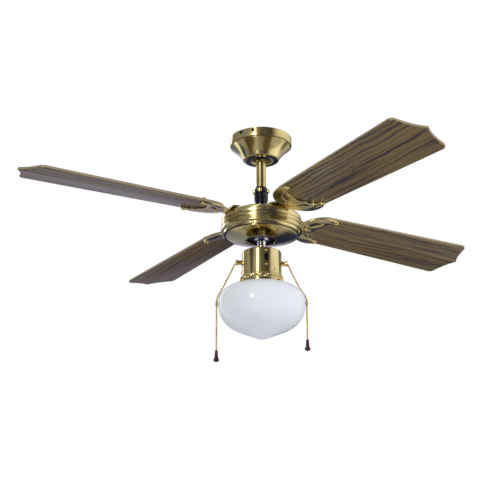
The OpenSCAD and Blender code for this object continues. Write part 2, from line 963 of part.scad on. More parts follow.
// Opal globe: a short neck with a rim, full shoulders and a conical underside with a small nose.
module glass_globe() {
    neck_top = -134;
    bead_r = 40.9;
    neck_in_r = neck_r - glass_t;
    in_r = globe_r - glass_t;
    bottom = globe_z - globe_low;
    neck = [[neck_in_r, neck_top], [bead_r, neck_top], [bead_r, neck_top - 2.6], [neck_r, neck_top - 3.6]];
    body_end = -45;
    upper = oval(globe_r, globe_up, globe_z, oval_turn(neck_r / globe_r), 0, 12);
    lower = oval(globe_r, globe_body_low, globe_z, -5, body_end, 9);
    nose = [[17.5, bottom + 5.6], [11, bottom + 2.7], [6, bottom + 0.9], [2.5, bottom + 0.2], [0, bottom]];
    nose_inside = [[0, bottom + 3.4], [17, bottom + 8.4]];
    lower_inside = oval(in_r, globe_body_low - glass_t, globe_z, body_end, -5, 7);
    upper_inside = oval(in_r, globe_up - glass_t, globe_z, 0, oval_turn(neck_in_r / in_r), 9);
    color(opal_color)
        at_motor()
            rotate_extrude($fn = 96)
                polygon(concat(neck, upper, lower, nose, nose_inside, lower_inside, upper_inside));
}

// ---- pull chains ----

module chain_left() {
    color(bright_brass_color)
        at_motor()
            rotate([0, 0, chain_turns[0]])
                swept_chain(chain_left_route, chain_r);
}

module chain_right() {
    color(bright_brass_color)
        at_motor()
            rotate([0, 0, chain_turns[1]])
                swept_chain(chain_right_route, chain_r);
}

// A bell-shaped connector that joins two lengths of bead chain.
module chain_connector(turn, z) {
    bore = chain_r + slip;
    wall = 0.7;
    swell = 1.2;
    color(bright_brass_color)
        at_motor()
            facing_out(turn, chain_hang_r, z)
                rotate_extrude($fn = 32)
                    polygon([[bore, -connector_h / 2], [bore + wall, -connector_h / 2], [bore + swell, -1.6],
                        [bore + swell, 1.6], [bore + wall, connector_h / 2], [bore, connector_h / 2]]);
}

module chain_connector_left() { chain_connector(chain_turns[0], connector_left_z); }
module chain_connector_right() { chain_connector(chain_turns[1], connector_right_z); }

// A turned wooden pull at the end of a chain.
module pendant(turn, top) {
    color([0.24, 0.12, 0.12])
        at_motor()
            facing_out(turn, chain_hang_r, top)
                rotate_extrude($fn = 40)
                    polygon([[0, 0], [2.4, 0], [2.9, -0.8], [3.1, -4], [4.1, -10], [5.5, -16], [6.2, -19],
                        [6.1, -20.4],
                        [4.6, -21], [3.4, -21.2], [3.2, -22.3], [2, -23.2], [0, -23.5]]);
}

module pendant_left() { pendant(chain_turns[0], pendant_left_top); }
module pendant_right() { pendant(chain_turns[1], pendant_right_top); }

ceiling_bracket();
terminal_block();
canopy();
canopy_screws();
hanger_ball();
hanger_pin();
downrod();
coupler();
coupler_screws();
clevis_pin();
motor_shaft();
upper_bearing();
lower_bearing();
stator_core();
stator_windings();
motor_housing();
rotor_ring();
rotor_base();
bowl_cover();
cover_screws();
blade_iron_1();
blade_iron_2();
blade_iron_3();
blade_iron_4();
iron_screws();
blade_1();
blade_2();
blade_3();
blade_4();
blade_screws();
blade_nuts();
lower_plate();
lock_washer();
nipple();
nipple_nuts();
switch_housing();
switch_housing_screws();
reverse_switch();
reverse_switch_screws();
reverse_slider();
pull_switches();
chain_bells();
pull_actuator_left();
pull_actuator_right();
capacitor();
fitter_pan();
rope_band();
thumbscrew_1();
thumbscrew_2();
thumbscrew_3();
lamp_holder();
bulb();
glass_globe();
chain_left();
chain_right();
chain_connector_left();
chain_connector_right();
pendant_left();
pendant_right();
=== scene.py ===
"""The looks of a four-blade ceiling fan with a globe light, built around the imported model."""

import logging
import math
from dataclasses import dataclass, field
from enum import Enum
from typing import Iterable, Sequence

import bmesh
import bpy
from mathutils import Matrix, Vector


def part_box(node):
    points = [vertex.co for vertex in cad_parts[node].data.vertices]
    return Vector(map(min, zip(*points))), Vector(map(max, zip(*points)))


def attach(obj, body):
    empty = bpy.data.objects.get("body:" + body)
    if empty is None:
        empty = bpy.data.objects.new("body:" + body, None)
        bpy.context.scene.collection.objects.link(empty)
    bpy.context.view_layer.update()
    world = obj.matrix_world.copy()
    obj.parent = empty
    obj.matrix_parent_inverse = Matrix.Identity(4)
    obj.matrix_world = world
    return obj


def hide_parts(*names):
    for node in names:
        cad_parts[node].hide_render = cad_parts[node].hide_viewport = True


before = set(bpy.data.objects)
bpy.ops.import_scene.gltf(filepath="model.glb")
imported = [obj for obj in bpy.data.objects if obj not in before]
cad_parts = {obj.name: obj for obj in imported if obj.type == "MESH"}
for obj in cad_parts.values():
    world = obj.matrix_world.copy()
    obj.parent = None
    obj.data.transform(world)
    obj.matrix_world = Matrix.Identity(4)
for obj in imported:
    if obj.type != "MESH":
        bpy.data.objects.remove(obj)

logging.basicConfig(level=logging.INFO, format="%(message)s")
log = logging.getLogger("ceiling_fan")

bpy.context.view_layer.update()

MM = 0.001
TAU = 2 * math.pi
Point = tuple[float, float]
Colour = tuple[float, float, float]
Panel = tuple[float, float] | tuple[float, float, Colour]

# Where the sub-assemblies stand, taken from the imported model.
MOTOR_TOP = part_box("lower_plate")[1].z + 0.047
CANOPY_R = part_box("canopy")[1].x
CANOPY_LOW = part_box("canopy")[0].z
FIRST_BLADE = math.radians(-57.67)
PITCH = math.radians(-11.03)
DROOP = math.radians(0.77)
BLADES = 4
CHAIN_TURNS = {"left": math.radians(186), "right": math.radians(6)}


class Slot(Enum):
    """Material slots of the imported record."""

    ANTIQUE_BRASS = "antique_brass"
    POLISHED_BRASS = "polished_brass"
    BRASS_SCREWS = "brass_screws"
    BEAD_CHAIN = "bead_chain"
    ZINC_STEEL = "zinc_steel"
    PLATED_STEEL = "plated_steel"
    BLACK_METAL = "black_metal"
    BLACK_PLASTIC = "black_plastic"
    PALE_PLASTIC = "pale_plastic"
    COPPER_WIRE = "copper_wire"
    WALNUT = "walnut"
    DARK_WOOD = "dark_wood"
    PORCELAIN = "porcelain"
    BULB_GLASS = "bulb_glass"
    OPAL_GLASS = "opal_glass"


# ---- finishes ----


class Nodes:
    """A material's node tree, with short calls to add and join nodes."""

    def __init__(self, name: str) -> None:
        """Makes an empty material with a Principled shader.

        Args:
            name: The material's name.
        """
        self.material = bpy.data.materials.new(name)
        self.material.use_nodes = True
        self.tree = self.material.node_tree
        self.tree.nodes.clear()
        self.output = self.tree.nodes.new("ShaderNodeOutputMaterial")
        self.shader = self.tree.nodes.new("ShaderNodeBsdfPrincipled")
        self.join(self.shader.outputs["BSDF"], self.output.inputs["Surface"])

    def join(self, source: bpy.types.NodeSocket, target: bpy.types.NodeSocket) -> None:
        """Links one socket to another."""
        self.tree.links.new(source, target)

    def add(self, kind: str, **settings: object) -> bpy.types.Node:
        """Adds a node.

        Args:
            kind: The node type without its ShaderNode prefix.
            settings: Properties to set on the node.

        Returns:
            The node.
        """
        node = self.tree.nodes.new("ShaderNode" + kind)
        for key, value in settings.items():
            setattr(node, key, value)
        return node

    def maths(self, operation: str, a: object, b: object = 0.0, c: object = 0.0) -> bpy.types.NodeSocket:
        """A Math node whose inputs are sockets or numbers.

        Args:
            operation: The node's operation.
            a: First input.
            b: Second input.
            c: Third input.

        Returns:
            The result socket.
        """
        node = self.add("Math", operation=operation)
        for socket, value in zip(node.inputs, (a, b, c)):
            if isinstance(value, bpy.types.NodeSocket):
                self.join(value, socket)
            else:
                socket.default_value = value
        return node.outputs[0]

    def noise(self, vector: bpy.types.NodeSocket, scale: float,
              detail: float = 3.0) -> bpy.types.NodeSocket:
        """A noise texture's factor.

        Args:
            vector: Where the noise is read.
            scale: Its scale.
            detail: How many octaves it has.

        Returns:
            The factor socket.
        """
        node = self.add("TexNoise")
        self.join(vector, node.inputs["Vector"])
        node.inputs["Scale"].default_value = scale
        node.inputs["Detail"].default_value = detail
        return node.outputs["Fac"]

    def ramp(self, factor: bpy.types.NodeSocket,
             stops: Sequence[tuple[float, Colour]]) -> bpy.types.NodeSocket:
        """A colour ramp.

        Args:
            factor: Its input.
            stops: Places from 0 to 1 with their colours.

        Returns:
            The colour socket.
        """
        node = self.add("ValToRGB")
        fill_ramp(node.color_ramp, stops)
        self.join(factor, node.inputs["Fac"])
        return node.outputs["Color"]

    def position(self) -> bpy.types.NodeSocket:
        """The surface point in the object's own coordinates."""
        return self.add("TexCoord").outputs["Object"]

    def stretched(self, vector: bpy.types.NodeSocket,
                  scale: tuple[float, float, float]) -> bpy.types.NodeSocket:
        """A vector scaled along its axes."""
        node = self.add("Mapping")
        node.inputs["Scale"].default_value = scale
        self.join(vector, node.inputs["Vector"])
        return node.outputs["Vector"]

    def bump(self, height: bpy.types.NodeSocket, strength: float, distance: float) -> None:
        """Puts a bump on the shader's normal.

        Args:
            height: The height field.
            strength: How strongly it tells.
            distance: Its depth in metres.
        """
        node = self.add("Bump")
        node.inputs["Strength"].default_value = strength
        node.inputs["Distance"].default_value = distance
        self.join(height, node.inputs["Height"])
        self.join(node.outputs["Normal"], self.shader.inputs["Normal"])

    def set(self, **values: object) -> None:
        """Sets the shader's own sockets, with underscores for spaces."""
        for key, value in values.items():
            self.shader.inputs[key.replace("_", " ")].default_value = value


def fill_ramp(ramp: bpy.types.ColorRamp, stops: Sequence[tuple[float, Colour]]) -> None:
    """Gives a colour ramp its stops.

    Args:
        ramp: The ramp to fill.
        stops: Places from 0 to 1 with their colours, in order.
    """
    while len(ramp.elements) > 1:
        ramp.elements.remove(ramp.elements[-1])
    ramp.elements[0].position = stops[0][0]
    ramp.elements[0].color = (*stops[0][1], 1)
    for place, colour in stops[1:]:
        ramp.elements.new(place).color = (*colour, 1)


@dataclass(frozen=True)
class Metal:
    """A plated or bare metal, with brushed lines round the axis and a little tarnish."""

    name: str
    base: Colour
    tarnish: Colour
    roughness: float = 0.25
    brushed: float = 0.0
    coat: float = 0.0
    patches: float = 25.0

    def make(self) -> bpy.types.Material:
        """Builds the material."""
        n = Nodes(self.name)
        here = n.position()
        cloud = n.noise(here, self.patches, 4)
        fine = n.noise(here, self.patches * 22, 2)
        shade = n.maths("MULTIPLY_ADD", fine, 0.25, n.maths("MULTIPLY", cloud, 0.75))
        n.join(n.ramp(shade, [(0.36, self.tarnish), (0.58, self.base)]), n.shader.inputs["Base Color"])
        xyz = n.add("SeparateXYZ")
        n.join(here, xyz.inputs[0])
        out = n.maths("SQRT", n.maths("ADD", n.maths("POWER", xyz.outputs[0], 2.0),
                                      n.maths("POWER", xyz.outputs[1], 2.0)))
        rings = n.add("CombineXYZ")
        n.join(out, rings.inputs[0])
        n.join(xyz.outputs[2], rings.inputs[1])
        lines = n.noise(rings.outputs[0], 2600, 2)
        rough = n.maths("MULTIPLY_ADD", cloud, 0.14, self.roughness - 0.07)
        n.join(n.maths("MULTIPLY_ADD", lines, 0.08 * self.brushed, rough), n.shader.inputs["Roughness"])
        n.set(Metallic=1.0, Coat_Weight=self.coat, Coat_Roughness=0.12)
        if self.brushed:
            n.bump(lines, 0.25 * self.brushed, 0.00006)
        else:
            n.bump(fine, 0.15, 0.00005)
        return n.material


@dataclass(frozen=True)
class BeadChain(Metal):
    """Metal beads on a wire painted dark as the shade in the gaps between beads; the wire carries its own
    "wire" attribute.
    """

    # painted shade: the dark colour given to the wire between the beads stands for the shade in their gaps
    painted_gap_shade: Colour = (0.045, 0.030, 0.045)

    def make(self) -> bpy.types.Material:
        """Builds the material."""
        material = super().make()
        tree = material.node_tree
        shader = next(node for node in tree.nodes if node.type == "BSDF_PRINCIPLED")
        beads = shader.inputs["Base Color"].links[0].from_socket
        wire = tree.nodes.new("ShaderNodeAttribute")
        wire.attribute_name = "wire"
        # the wire, found by its attribute, is painted with the dark gap shade instead of the bead colour
        paint = tree.nodes.new("ShaderNodeMix")
        paint.data_type = "RGBA"
        paint.inputs[7].default_value = (*self.painted_gap_shade, 1)
        tree.links.new(wire.outputs["Fac"], paint.inputs["Factor"])
        tree.links.new(beads, paint.inputs[6])
        tree.links.new(paint.outputs[2], shader.inputs["Base Color"])
        return material


@dataclass(frozen=True)
class Moulding:
    """A plastic, enamel or ceramic with a faint grain."""

    name: str
    base: Colour
    worn: Colour
    roughness: float = 0.4
    grain: float = 900.0
    coat: float = 0.0
    shine: float = 0.5

    def make(self) -> bpy.types.Material:
        """Builds the material."""
        n = Nodes(self.name)
        here = n.position()
        cloud = n.noise(here, 60, 4)
        n.join(n.ramp(cloud, [(0.4, self.base), (0.75, self.worn)]), n.shader.inputs["Base Color"])
        n.join(n.maths("MULTIPLY_ADD", cloud, 0.16, self.roughness - 0.08), n.shader.inputs["Roughness"])
        n.set(Coat_Weight=self.coat, Coat_Roughness=0.15, Specular_IOR_Level=self.shine)
        n.bump(n.noise(here, self.grain, 2), 0.2, 0.00008)
        return n.material


@dataclass(frozen=True)
class OpalGlass:
    """White cased glass: milky inside, smooth and glossy outside."""

    name: str = "opal glass"
    body: Colour = (0.75, 0.78, 0.83)
    deep: Colour = (0.72, 0.75, 0.80)

    def make(self) -> bpy.types.Material:
        """Builds the material."""
        n = Nodes(self.name)
        here = n.position()
        cloud = n.noise(here, 14, 2)
        n.join(n.ramp(cloud, [(0.35, self.deep), (0.65, self.body)]), n.shader.inputs["Base Color"])
        n.join(n.maths("MULTIPLY_ADD", cloud, 0.04, 0.20), n.shader.inputs["Roughness"])
        n.set(Coat_Weight=0.12, Coat_Roughness=0.05, IOR=1.45, Specular_IOR_Level=0.12)
        n.bump(n.noise(here, 30, 2), 0.05, 0.0004)
        return n.material


@dataclass(frozen=True)
class Walnut:
    """Walnut foil on a flat blade: dark figure and fine pores, read from its own UV in metres, and a painted
    highlight on its side faces.
    """

    name: str
    early: Colour = (0.165, 0.106, 0.030)
    middle: Colour = (0.095, 0.060, 0.022)
    late: Colour = (0.020, 0.011, 0.018)
    # painted highlight: a pale cream colour on the blade's side faces stands for light caught along the edges
    painted_edge_highlight: Colour = (0.24, 0.19, 0.11)
    roughness: float = 0.36

    def make(self) -> bpy.types.Material:
        """Builds the material."""
        n = Nodes(self.name)
        place = n.add("UVMap", uv_map="grain").outputs["UV"]
        sway = n.noise(n.stretched(place, (11.0, 14.0, 1.0)), 1.0, 5)
        xyz = n.add("SeparateXYZ")
        n.join(place, xyz.inputs[0])
        across = n.maths("MULTIPLY_ADD", sway, 0.016, xyz.outputs[1])
        wavy = n.add("CombineXYZ")
        n.join(xyz.outputs[0], wavy.inputs[0])
        n.join(across, wavy.inputs[1])
        broad = n.noise(n.stretched(wavy.outputs[0], (2.6, 170.0, 1.0)), 1.0, 5)
        streak = n.noise(n.stretched(wavy.outputs[0], (6.0, 330.0, 1.0)), 1.0, 4)
        pores = n.noise(n.stretched(place, (45.0, 1300.0, 1.0)), 1.0, 2)
        lines = n.maths("ADD", n.maths("MULTIPLY", broad, 0.62), n.maths("MULTIPLY", streak, 0.40))
        figure = n.maths("MULTIPLY_ADD", pores, 0.12, n.maths("SUBTRACT", lines, 0.06))
        wood = n.ramp(figure, [(0.43, self.late), (0.48, self.middle), (0.545, self.early)])
        # the side faces, marked in the "edge" UV map, get the painted edge highlight instead of the wood
        side = n.add("SeparateXYZ")
        n.join(n.add("UVMap", uv_map="edge").outputs["UV"], side.inputs[0])
        paint = n.add("Mix", data_type="RGBA")
        n.join(side.outputs[0], paint.inputs["Factor"])
        n.join(wood, paint.inputs[6])
        paint.inputs[7].default_value = (*self.painted_edge_highlight, 1)
        n.join(paint.outputs[2], n.shader.inputs["Base Color"])
        n.join(n.maths("MULTIPLY_ADD", streak, 0.14, self.roughness - 0.07), n.shader.inputs["Roughness"])
        n.set(Coat_Weight=0.35, Coat_Roughness=0.2, Specular_IOR_Level=0.35)
        n.bump(pores, 0.3, 0.00012)
        return n.material


@dataclass(frozen=True)
class TurnedWood:
    """Dark stained wood turned on a lathe."""

    name: str = "dark turned wood"
    light: Colour = (0.060, 0.014, 0.034)
    dark: Colour = (0.018, 0.004, 0.016)

    def make(self) -> bpy.types.Material:
        """Builds the material."""
        n = Nodes(self.name)
        grain = n.noise(n.stretched(n.position(), (900.0, 900.0, 60.0)), 1.0, 4)
        n.join(n.ramp(grain, [(0.38, self.dark), (0.66, self.light)]), n.shader.inputs["Base Color"])
        n.join(n.maths("MULTIPLY_ADD", grain, 0.1, 0.28), n.shader.inputs["Roughness"])
        n.set(Coat_Weight=0.1, Coat_Roughness=0.12, Specular_IOR_Level=0.25)
        n.bump(grain, 0.2, 0.00008)
        return n.material


@dataclass
class Finishes:
    """Every finish of the fan, one for each slot of the record."""

    made: dict[Slot, bpy.types.Material] = field(default_factory=dict)

    def __post_init__(self) -> None:
        """Builds the materials once."""
        kinds = {
            Slot.ANTIQUE_BRASS: Metal("antique brass", (0.60, 0.50, 0.235), (0.44, 0.36, 0.15),
                                      roughness=0.15, brushed=0.6, coat=0.5),
            Slot.POLISHED_BRASS: Metal("polished brass", (0.64, 0.55, 0.28), (0.52, 0.43, 0.19),
                                       roughness=0.12, brushed=0.4, coat=0.5),
            Slot.BRASS_SCREWS: Metal("brass screws", (0.86, 0.66, 0.24), (0.60, 0.42, 0.13),
                                     roughness=0.2, coat=0.2, patches=180),
            Slot.BEAD_CHAIN: BeadChain("brass bead chain", (0.95, 0.74, 0.30), (0.62, 0.45, 0.18),
                                       roughness=0.22, coat=0.1, patches=240),
            Slot.ZINC_STEEL: Metal("zinc plated steel", (0.62, 0.64, 0.66), (0.48, 0.49, 0.50),
                                   roughness=0.34, brushed=0.4, patches=60),
            Slot.PLATED_STEEL: Metal("bright plated steel", (0.80, 0.80, 0.82), (0.60, 0.60, 0.62),
                                     roughness=0.14, brushed=0.3, patches=90),
            Slot.BLACK_METAL: Moulding("black enamelled metal", (0.003, 0.003, 0.012),
                                       (0.008, 0.008, 0.020), roughness=0.26, grain=700, coat=0.05,
                                       shine=0.28),
            Slot.BLACK_PLASTIC: Moulding("black plastic", (0.003, 0.003, 0.009), (0.007, 0.007, 0.014),
                                         roughness=0.36, grain=1400, coat=0.05, shine=0.3),
            Slot.PALE_PLASTIC: Moulding("pale plastic", (0.66, 0.65, 0.60), (0.58, 0.56, 0.50),
                                        roughness=0.45),
            Slot.COPPER_WIRE: Metal("enamelled copper", (0.72, 0.30, 0.13), (0.50, 0.18, 0.07),
                                    roughness=0.35, coat=0.5, patches=120),
            Slot.WALNUT: Walnut("walnut foil"),
            Slot.DARK_WOOD: TurnedWood(),
            Slot.PORCELAIN: Moulding("porcelain", (0.80, 0.80, 0.78), (0.74, 0.73, 0.70),
                                     roughness=0.2, grain=300, coat=0.6),
            Slot.BULB_GLASS: Moulding("frosted bulb glass", (0.86, 0.86, 0.84), (0.80, 0.80, 0.78),
                                      roughness=0.3, grain=1200, coat=0.3),
            Slot.OPAL_GLASS: OpalGlass(),
        }
        self.made = {slot: kind.make() for slot, kind in kinds.items()}

    def dress(self, piece: bpy.types.Object, slot: Slot) -> bpy.types.Object:
        """Gives a piece one finish and names its slot.

        Args:
            piece: The piece, which may be a CAD node.
            slot: Its material slot.

        Returns:
            The piece.
        """
        piece.data.materials.clear()
        piece.data.materials.append(self.made[slot])
        return piece


# ---- shapes ----


def arc(centre: Point, radius: float, start: float, end: float, steps: int) -> list[Point]:
    """Points on a circle's arc.

    Args:
        centre: Its centre.
        radius: Its radius.
        start: First angle in degrees.
        end: Last angle in degrees.
        steps: How many stretches it has.

    Returns:
        The points.
    """
    turn = [math.radians(start + (end - start) * i / steps) for i in range(steps + 1)]
    return [(centre[0] + radius * math.cos(a), centre[1] + radius * math.sin(a)) for a in turn]


def softened(profile: Sequence[Point], radius: float, steps: int = 2) -> list[Point]:
    """Rounds the corners of a closed outline.

    Args:
        profile: The outline's points.
        radius: How far from each corner the round starts.
        steps: How many stretches each round has.

    Returns:
        The rounded outline.
    """
    made: list[Point] = []
    count = len(profile)
    for i, corner in enumerate(profile):
        here = Vector(corner)
        back, ahead = Vector(profile[i - 1]) - here, Vector(profile[(i + 1) % count]) - here
        if corner[0] < 1e-9 or back.length < 1e-9 or ahead.length < 1e-9 or back.angle(-ahead) < 0.35:
            made.append(corner)
            continue
        first = here + back.normalized() * min(radius, back.length * 0.45)
        last = here + ahead.normalized() * min(radius, ahead.length * 0.45)
        for k in range(steps + 1):
            t = k / steps
            made.append(tuple(first.lerp(here, t).lerp(here.lerp(last, t), t)))
    return made


def new_piece(name: str, mesh: bpy.types.Mesh) -> bpy.types.Object:
    """Adds a mesh to the scene as a piece."""
    mesh.name = name
    piece = bpy.data.objects.new(name, mesh)
    bpy.context.scene.collection.objects.link(piece)
    return piece


def smooth(mesh: bpy.types.Mesh, angle: float = 32.0) -> None:
    """Smooths a mesh except across edges sharper than an angle in degrees."""
    mesh.shade_smooth()
    mesh.set_sharp_from_angle(angle=math.radians(angle))


def lathe_mesh(profile: Sequence[Point], segments: int, place: Matrix = Matrix()) -> bpy.types.Mesh:
    """Turns a closed outline of distances and heights about the vertical axis.

    Args:
        profile: The outline in millimetres; a point at distance 0 is a pole.
        segments: How many sides the round has.
        place: Where it goes, in metres.

    Returns:
        The mesh.
    """
    bm = bmesh.new()
    rings = []
    for r, z in profile:
        if r < 1e-6:
            rings.append([bm.verts.new((0, 0, z * MM))])
            continue
        turn = [TAU * k / segments for k in range(segments)]
        rings.append([bm.verts.new((r * MM * math.cos(a), r * MM * math.sin(a), z * MM)) for a in turn])
    for i, low in enumerate(rings):
        high = rings[(i + 1) % len(rings)]
        if len(low) == 1 and len(high) == 1:
            continue
        for k in range(segments):
            j = (k + 1) % segments
            quad = [low[k % len(low)], low[j % len(low)], high[j % len(high)], high[k % len(high)]]
            bm.faces.new(list(dict.fromkeys(quad)))
    bmesh.ops.recalc_face_normals(bm, faces=bm.faces)
    bm.transform(place)
    mesh = bpy.data.meshes.new("turned")
    bm.to_mesh(mesh)
    bm.free()
    smooth(mesh)
    return mesh


def at_motor(turn: float = 0.0) -> Matrix:
    """The frame at the motor's top face, turned about the axis."""
    return Matrix.Translation((0, 0, MOTOR_TOP)) @ Matrix.Rotation(turn, 4, "Z")


def facing_out(turn: float, out: float, z: float) -> Matrix:
    """A frame whose Z points straight out from the axis.

    Args:
        turn: Direction in radians.
        out: Distance in millimetres.
        z: Height in millimetres.

    Returns:
        The frame's matrix, from the motor's top face.
    """
    away = Matrix.Translation((out * MM, 0, z * MM))
    return Matrix.Rotation(turn, 4, "Z") @ away @ Matrix.Rotation(math.pi / 2, 4, "Y")


def joined(name: str, meshes: Iterable[bpy.types.Mesh]) -> bpy.types.Object:
    """Joins several meshes into one piece."""
    bm = bmesh.new()
    for mesh in meshes:
        bm.from_mesh(mesh)
    mesh = bpy.data.meshes.new(name)
    bm.to_mesh(mesh)
    bm.free()
    smooth(mesh)
    return new_piece(name, mesh)


def evaluated(piece: bpy.types.Object) -> bpy.types.Object:
    """Turns a piece with modifiers, or a curve, into a plain mesh piece of the same name.

    Args:
        piece: The piece, which is removed.

    Returns:
        The new piece, at the origin.
    """
    bpy.context.view_layer.update()
    graph = bpy.context.evaluated_depsgraph_get()
    mesh = bpy.data.meshes.new_from_object(piece.evaluated_get(graph))
    name = piece.name
    bpy.data.objects.remove(piece)
    return new_piece(name, mesh)


def box_mesh(low: Sequence[float], high: Sequence[float], place: Matrix) -> bpy.types.Mesh:
    """A block between two corners in millimetres, used to cut slots."""
    bm = bmesh.new()
    bmesh.ops.create_cube(bm, size=1)
    size = Vector(high) - Vector(low)
    middle = (Vector(high) + Vector(low)) / 2
    bm.transform(place @ Matrix.Translation(middle * MM) @ Matrix.Diagonal((*(size * MM), 1)))
    mesh = bpy.data.meshes.new("cutter")
    bm.to_mesh(mesh)
    bm.free()
    return mesh


def cut(piece: bpy.types.Object, cutters: Sequence[bpy.types.Mesh]) -> bpy.types.Object:
    """Cuts shapes out of a piece.

    Args:
        piece: The piece to cut.
        cutters: Closed meshes, none of which cross each other.

    Returns:
        The cut piece.
    """
    tool = joined("cutter", cutters)
    holes = piece.modifiers.new("holes", "BOOLEAN")
    holes.operation, holes.solver, holes.object = "DIFFERENCE", "EXACT", tool
    made = evaluated(piece)
    bpy.data.objects.remove(tool)
    smooth(made.data)
    return made


def plate(name: str, outline: Sequence[Point], holes: Sequence[Sequence[Point]], thickness: float,
          edge: float, rounds: int = 2) -> bpy.types.Object:
    """A flat plate with rounded edges, lying centred on the XY plane.

    Args:
        name: The piece's name.
        outline: Its outer boundary in millimetres.
        holes: The boundaries of its holes.
        thickness: Its thickness.
        edge: The radius of its edges.
        rounds: How many stretches the edges' rounds have.

    Returns:
        The piece.
    """
    curve = bpy.data.curves.new(name, "CURVE")
    curve.dimensions, curve.fill_mode = "2D", "BOTH"
    curve.extrude = (thickness / 2 - edge) * MM
    curve.bevel_depth, curve.bevel_resolution, curve.offset = edge * MM, rounds, -edge * MM
    for points in (outline, *holes):
        spline = curve.splines.new("POLY")
        spline.points.add(len(points) - 1)
        spline.use_cyclic_u = True
        for at, (x, y) in zip(spline.points, points):
            at.co = (x * MM, y * MM, 0, 1)
    piece = bpy.data.objects.new(name, curve)
    bpy.context.scene.collection.objects.link(piece)
    piece = evaluated(piece)
    bm = bmesh.new()
    bm.from_mesh(piece.data)
    bmesh.ops.remove_doubles(bm, verts=bm.verts, dist=1e-6)
    bmesh.ops.recalc_face_normals(bm, faces=bm.faces)
    bm.to_mesh(piece.data)
    bm.free()
    return piece


def finished_copy(node: str, name: str, angle: float = 32.0) -> bpy.types.Object:
    """A copy of a CAD node with its seams joined and its round faces smooth, which stands for that node.

    Args:
        node: The CAD node.
        name: The new piece's name.
        angle: The sharpest edge that is smoothed, in degrees.

    Returns:
        The new piece.
    """
    bm = bmesh.new()
    bm.from_mesh(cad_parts[node].data)
    bmesh.ops.remove_doubles(bm, verts=bm.verts, dist=2e-6)
    bmesh.ops.dissolve_degenerate(bm, edges=bm.edges, dist=1e-6)
    mesh = bpy.data.meshes.new(name)
    bm.to_mesh(mesh)
    bm.free()
    mesh.materials.clear()
    smooth(mesh, angle)
    return new_piece(name, mesh)


# ---- geometry node trees ----


class Tree:
    """A geometry node tree with named inputs."""

    def __init__(self, name: str) -> None:
        """Makes an empty tree with an output.

        Args:
            name: The tree's name.
        """
        self.group = bpy.data.node_groups.new(name, "GeometryNodeTree")
        self.group.interface.new_socket("Geometry", in_out="INPUT", socket_type="NodeSocketGeometry")
        self.group.interface.new_socket("Geometry", in_out="OUTPUT", socket_type="NodeSocketGeometry")
        self.entry = self.group.nodes.new("NodeGroupInput")
        self.exit = self.group.nodes.new("NodeGroupOutput")

    def ask(self, name: str, kind: str) -> bpy.types.NodeSocket:
        """Adds a named input and returns its socket in the tree."""
        self.group.interface.new_socket(name, in_out="INPUT", socket_type="NodeSocket" + kind)
        return self.entry.outputs[name]

    def add(self, kind: str, inputs: dict[str, object] | None = None, **settings: object) -> bpy.types.Node:
        """Adds a node.

        Args:
            kind: The node's full type name.
            inputs: Sockets or values for its inputs, by name.
            settings: Properties to set on the node.

        Returns:
            The node.
        """
        node = self.group.nodes.new(kind)
        for key, value in settings.items():
            setattr(node, key, value)
        for key, value in (inputs or {}).items():
            if isinstance(value, bpy.types.NodeSocket):
                self.group.links.new(value, node.inputs[key])
            else:
                node.inputs[key].default_value = value
        return node

    def finish(self, geometry: bpy.types.NodeSocket) -> bpy.types.GeometryNodeTree:
        """Ends the tree in Realize Instances and Set Material.

        Args:
            geometry: What the tree has made.

        Returns:
            The finished tree.
        """
        material = self.ask("Finish", "Material")
        real = self.add("GeometryNodeRealizeInstances", {"Geometry": geometry})
        dressed = self.add("GeometryNodeSetMaterial", {"Geometry": real.outputs[0], "Material": material})
        self.group.links.new(dressed.outputs[0], self.exit.inputs[0])
        return self.group


def run_tree(name: str, mesh: bpy.types.Mesh, tree: bpy.types.GeometryNodeTree,
             values: dict[str, object]) -> bpy.types.Object:
    """Runs a node tree on a mesh and returns the plain result.

    Args:
        name: The new piece's name.
        mesh: The tree's input mesh.
        tree: The tree.
        values: Its inputs by name.

    Returns:
        The piece, without the modifier.
    """
    piece = new_piece(name, mesh)
    modifier = piece.modifiers.new("nodes", "NODES")
    modifier.node_group = tree
    for item in tree.interface.items_tree:
        if item.item_type == "SOCKET" and item.in_out == "INPUT" and item.name in values:
            modifier[item.identifier] = values[item.name]
    made = evaluated(piece)
    smooth(made.data, 40)
    return made


def fastener_tree() -> bpy.types.GeometryNodeTree:
    """Puts one fastener on each point, its Z along the point's facing and turned by the point's twist."""
    tree = Tree("fasteners on points")
    part = tree.ask("Fastener", "Object")
    size = tree.ask("Size", "Float")
    facing = tree.add("GeometryNodeInputNamedAttribute", {"Name": "facing"}, data_type="FLOAT_VECTOR")
    twist = tree.add("GeometryNodeInputNamedAttribute", {"Name": "twist"}, data_type="FLOAT")
    aim = tree.add("FunctionNodeAlignRotationToVector", {"Vector": facing.outputs[0]}, axis="Z")
    roll = tree.add("FunctionNodeAxisAngleToRotation", {"Axis": (0, 0, 1), "Angle": twist.outputs[0]})
    turned = tree.add("FunctionNodeRotateRotation",
                      {"Rotation": aim.outputs[0], "Rotate By": roll.outputs[0]}, rotation_space="LOCAL")
    info = tree.add("GeometryNodeObjectInfo", {"Object": part, "As Instance": True},
                    transform_space="ORIGINAL")
    points = tree.add("GeometryNodeMeshToPoints", {"Mesh": tree.entry.outputs["Geometry"]})
    placed = tree.add("GeometryNodeInstanceOnPoints", {
        "Points": points.outputs[0], "Instance": info.outputs["Geometry"],
        "Rotation": turned.outputs[0], "Scale": size})
    return tree.finish(placed.outputs[0])


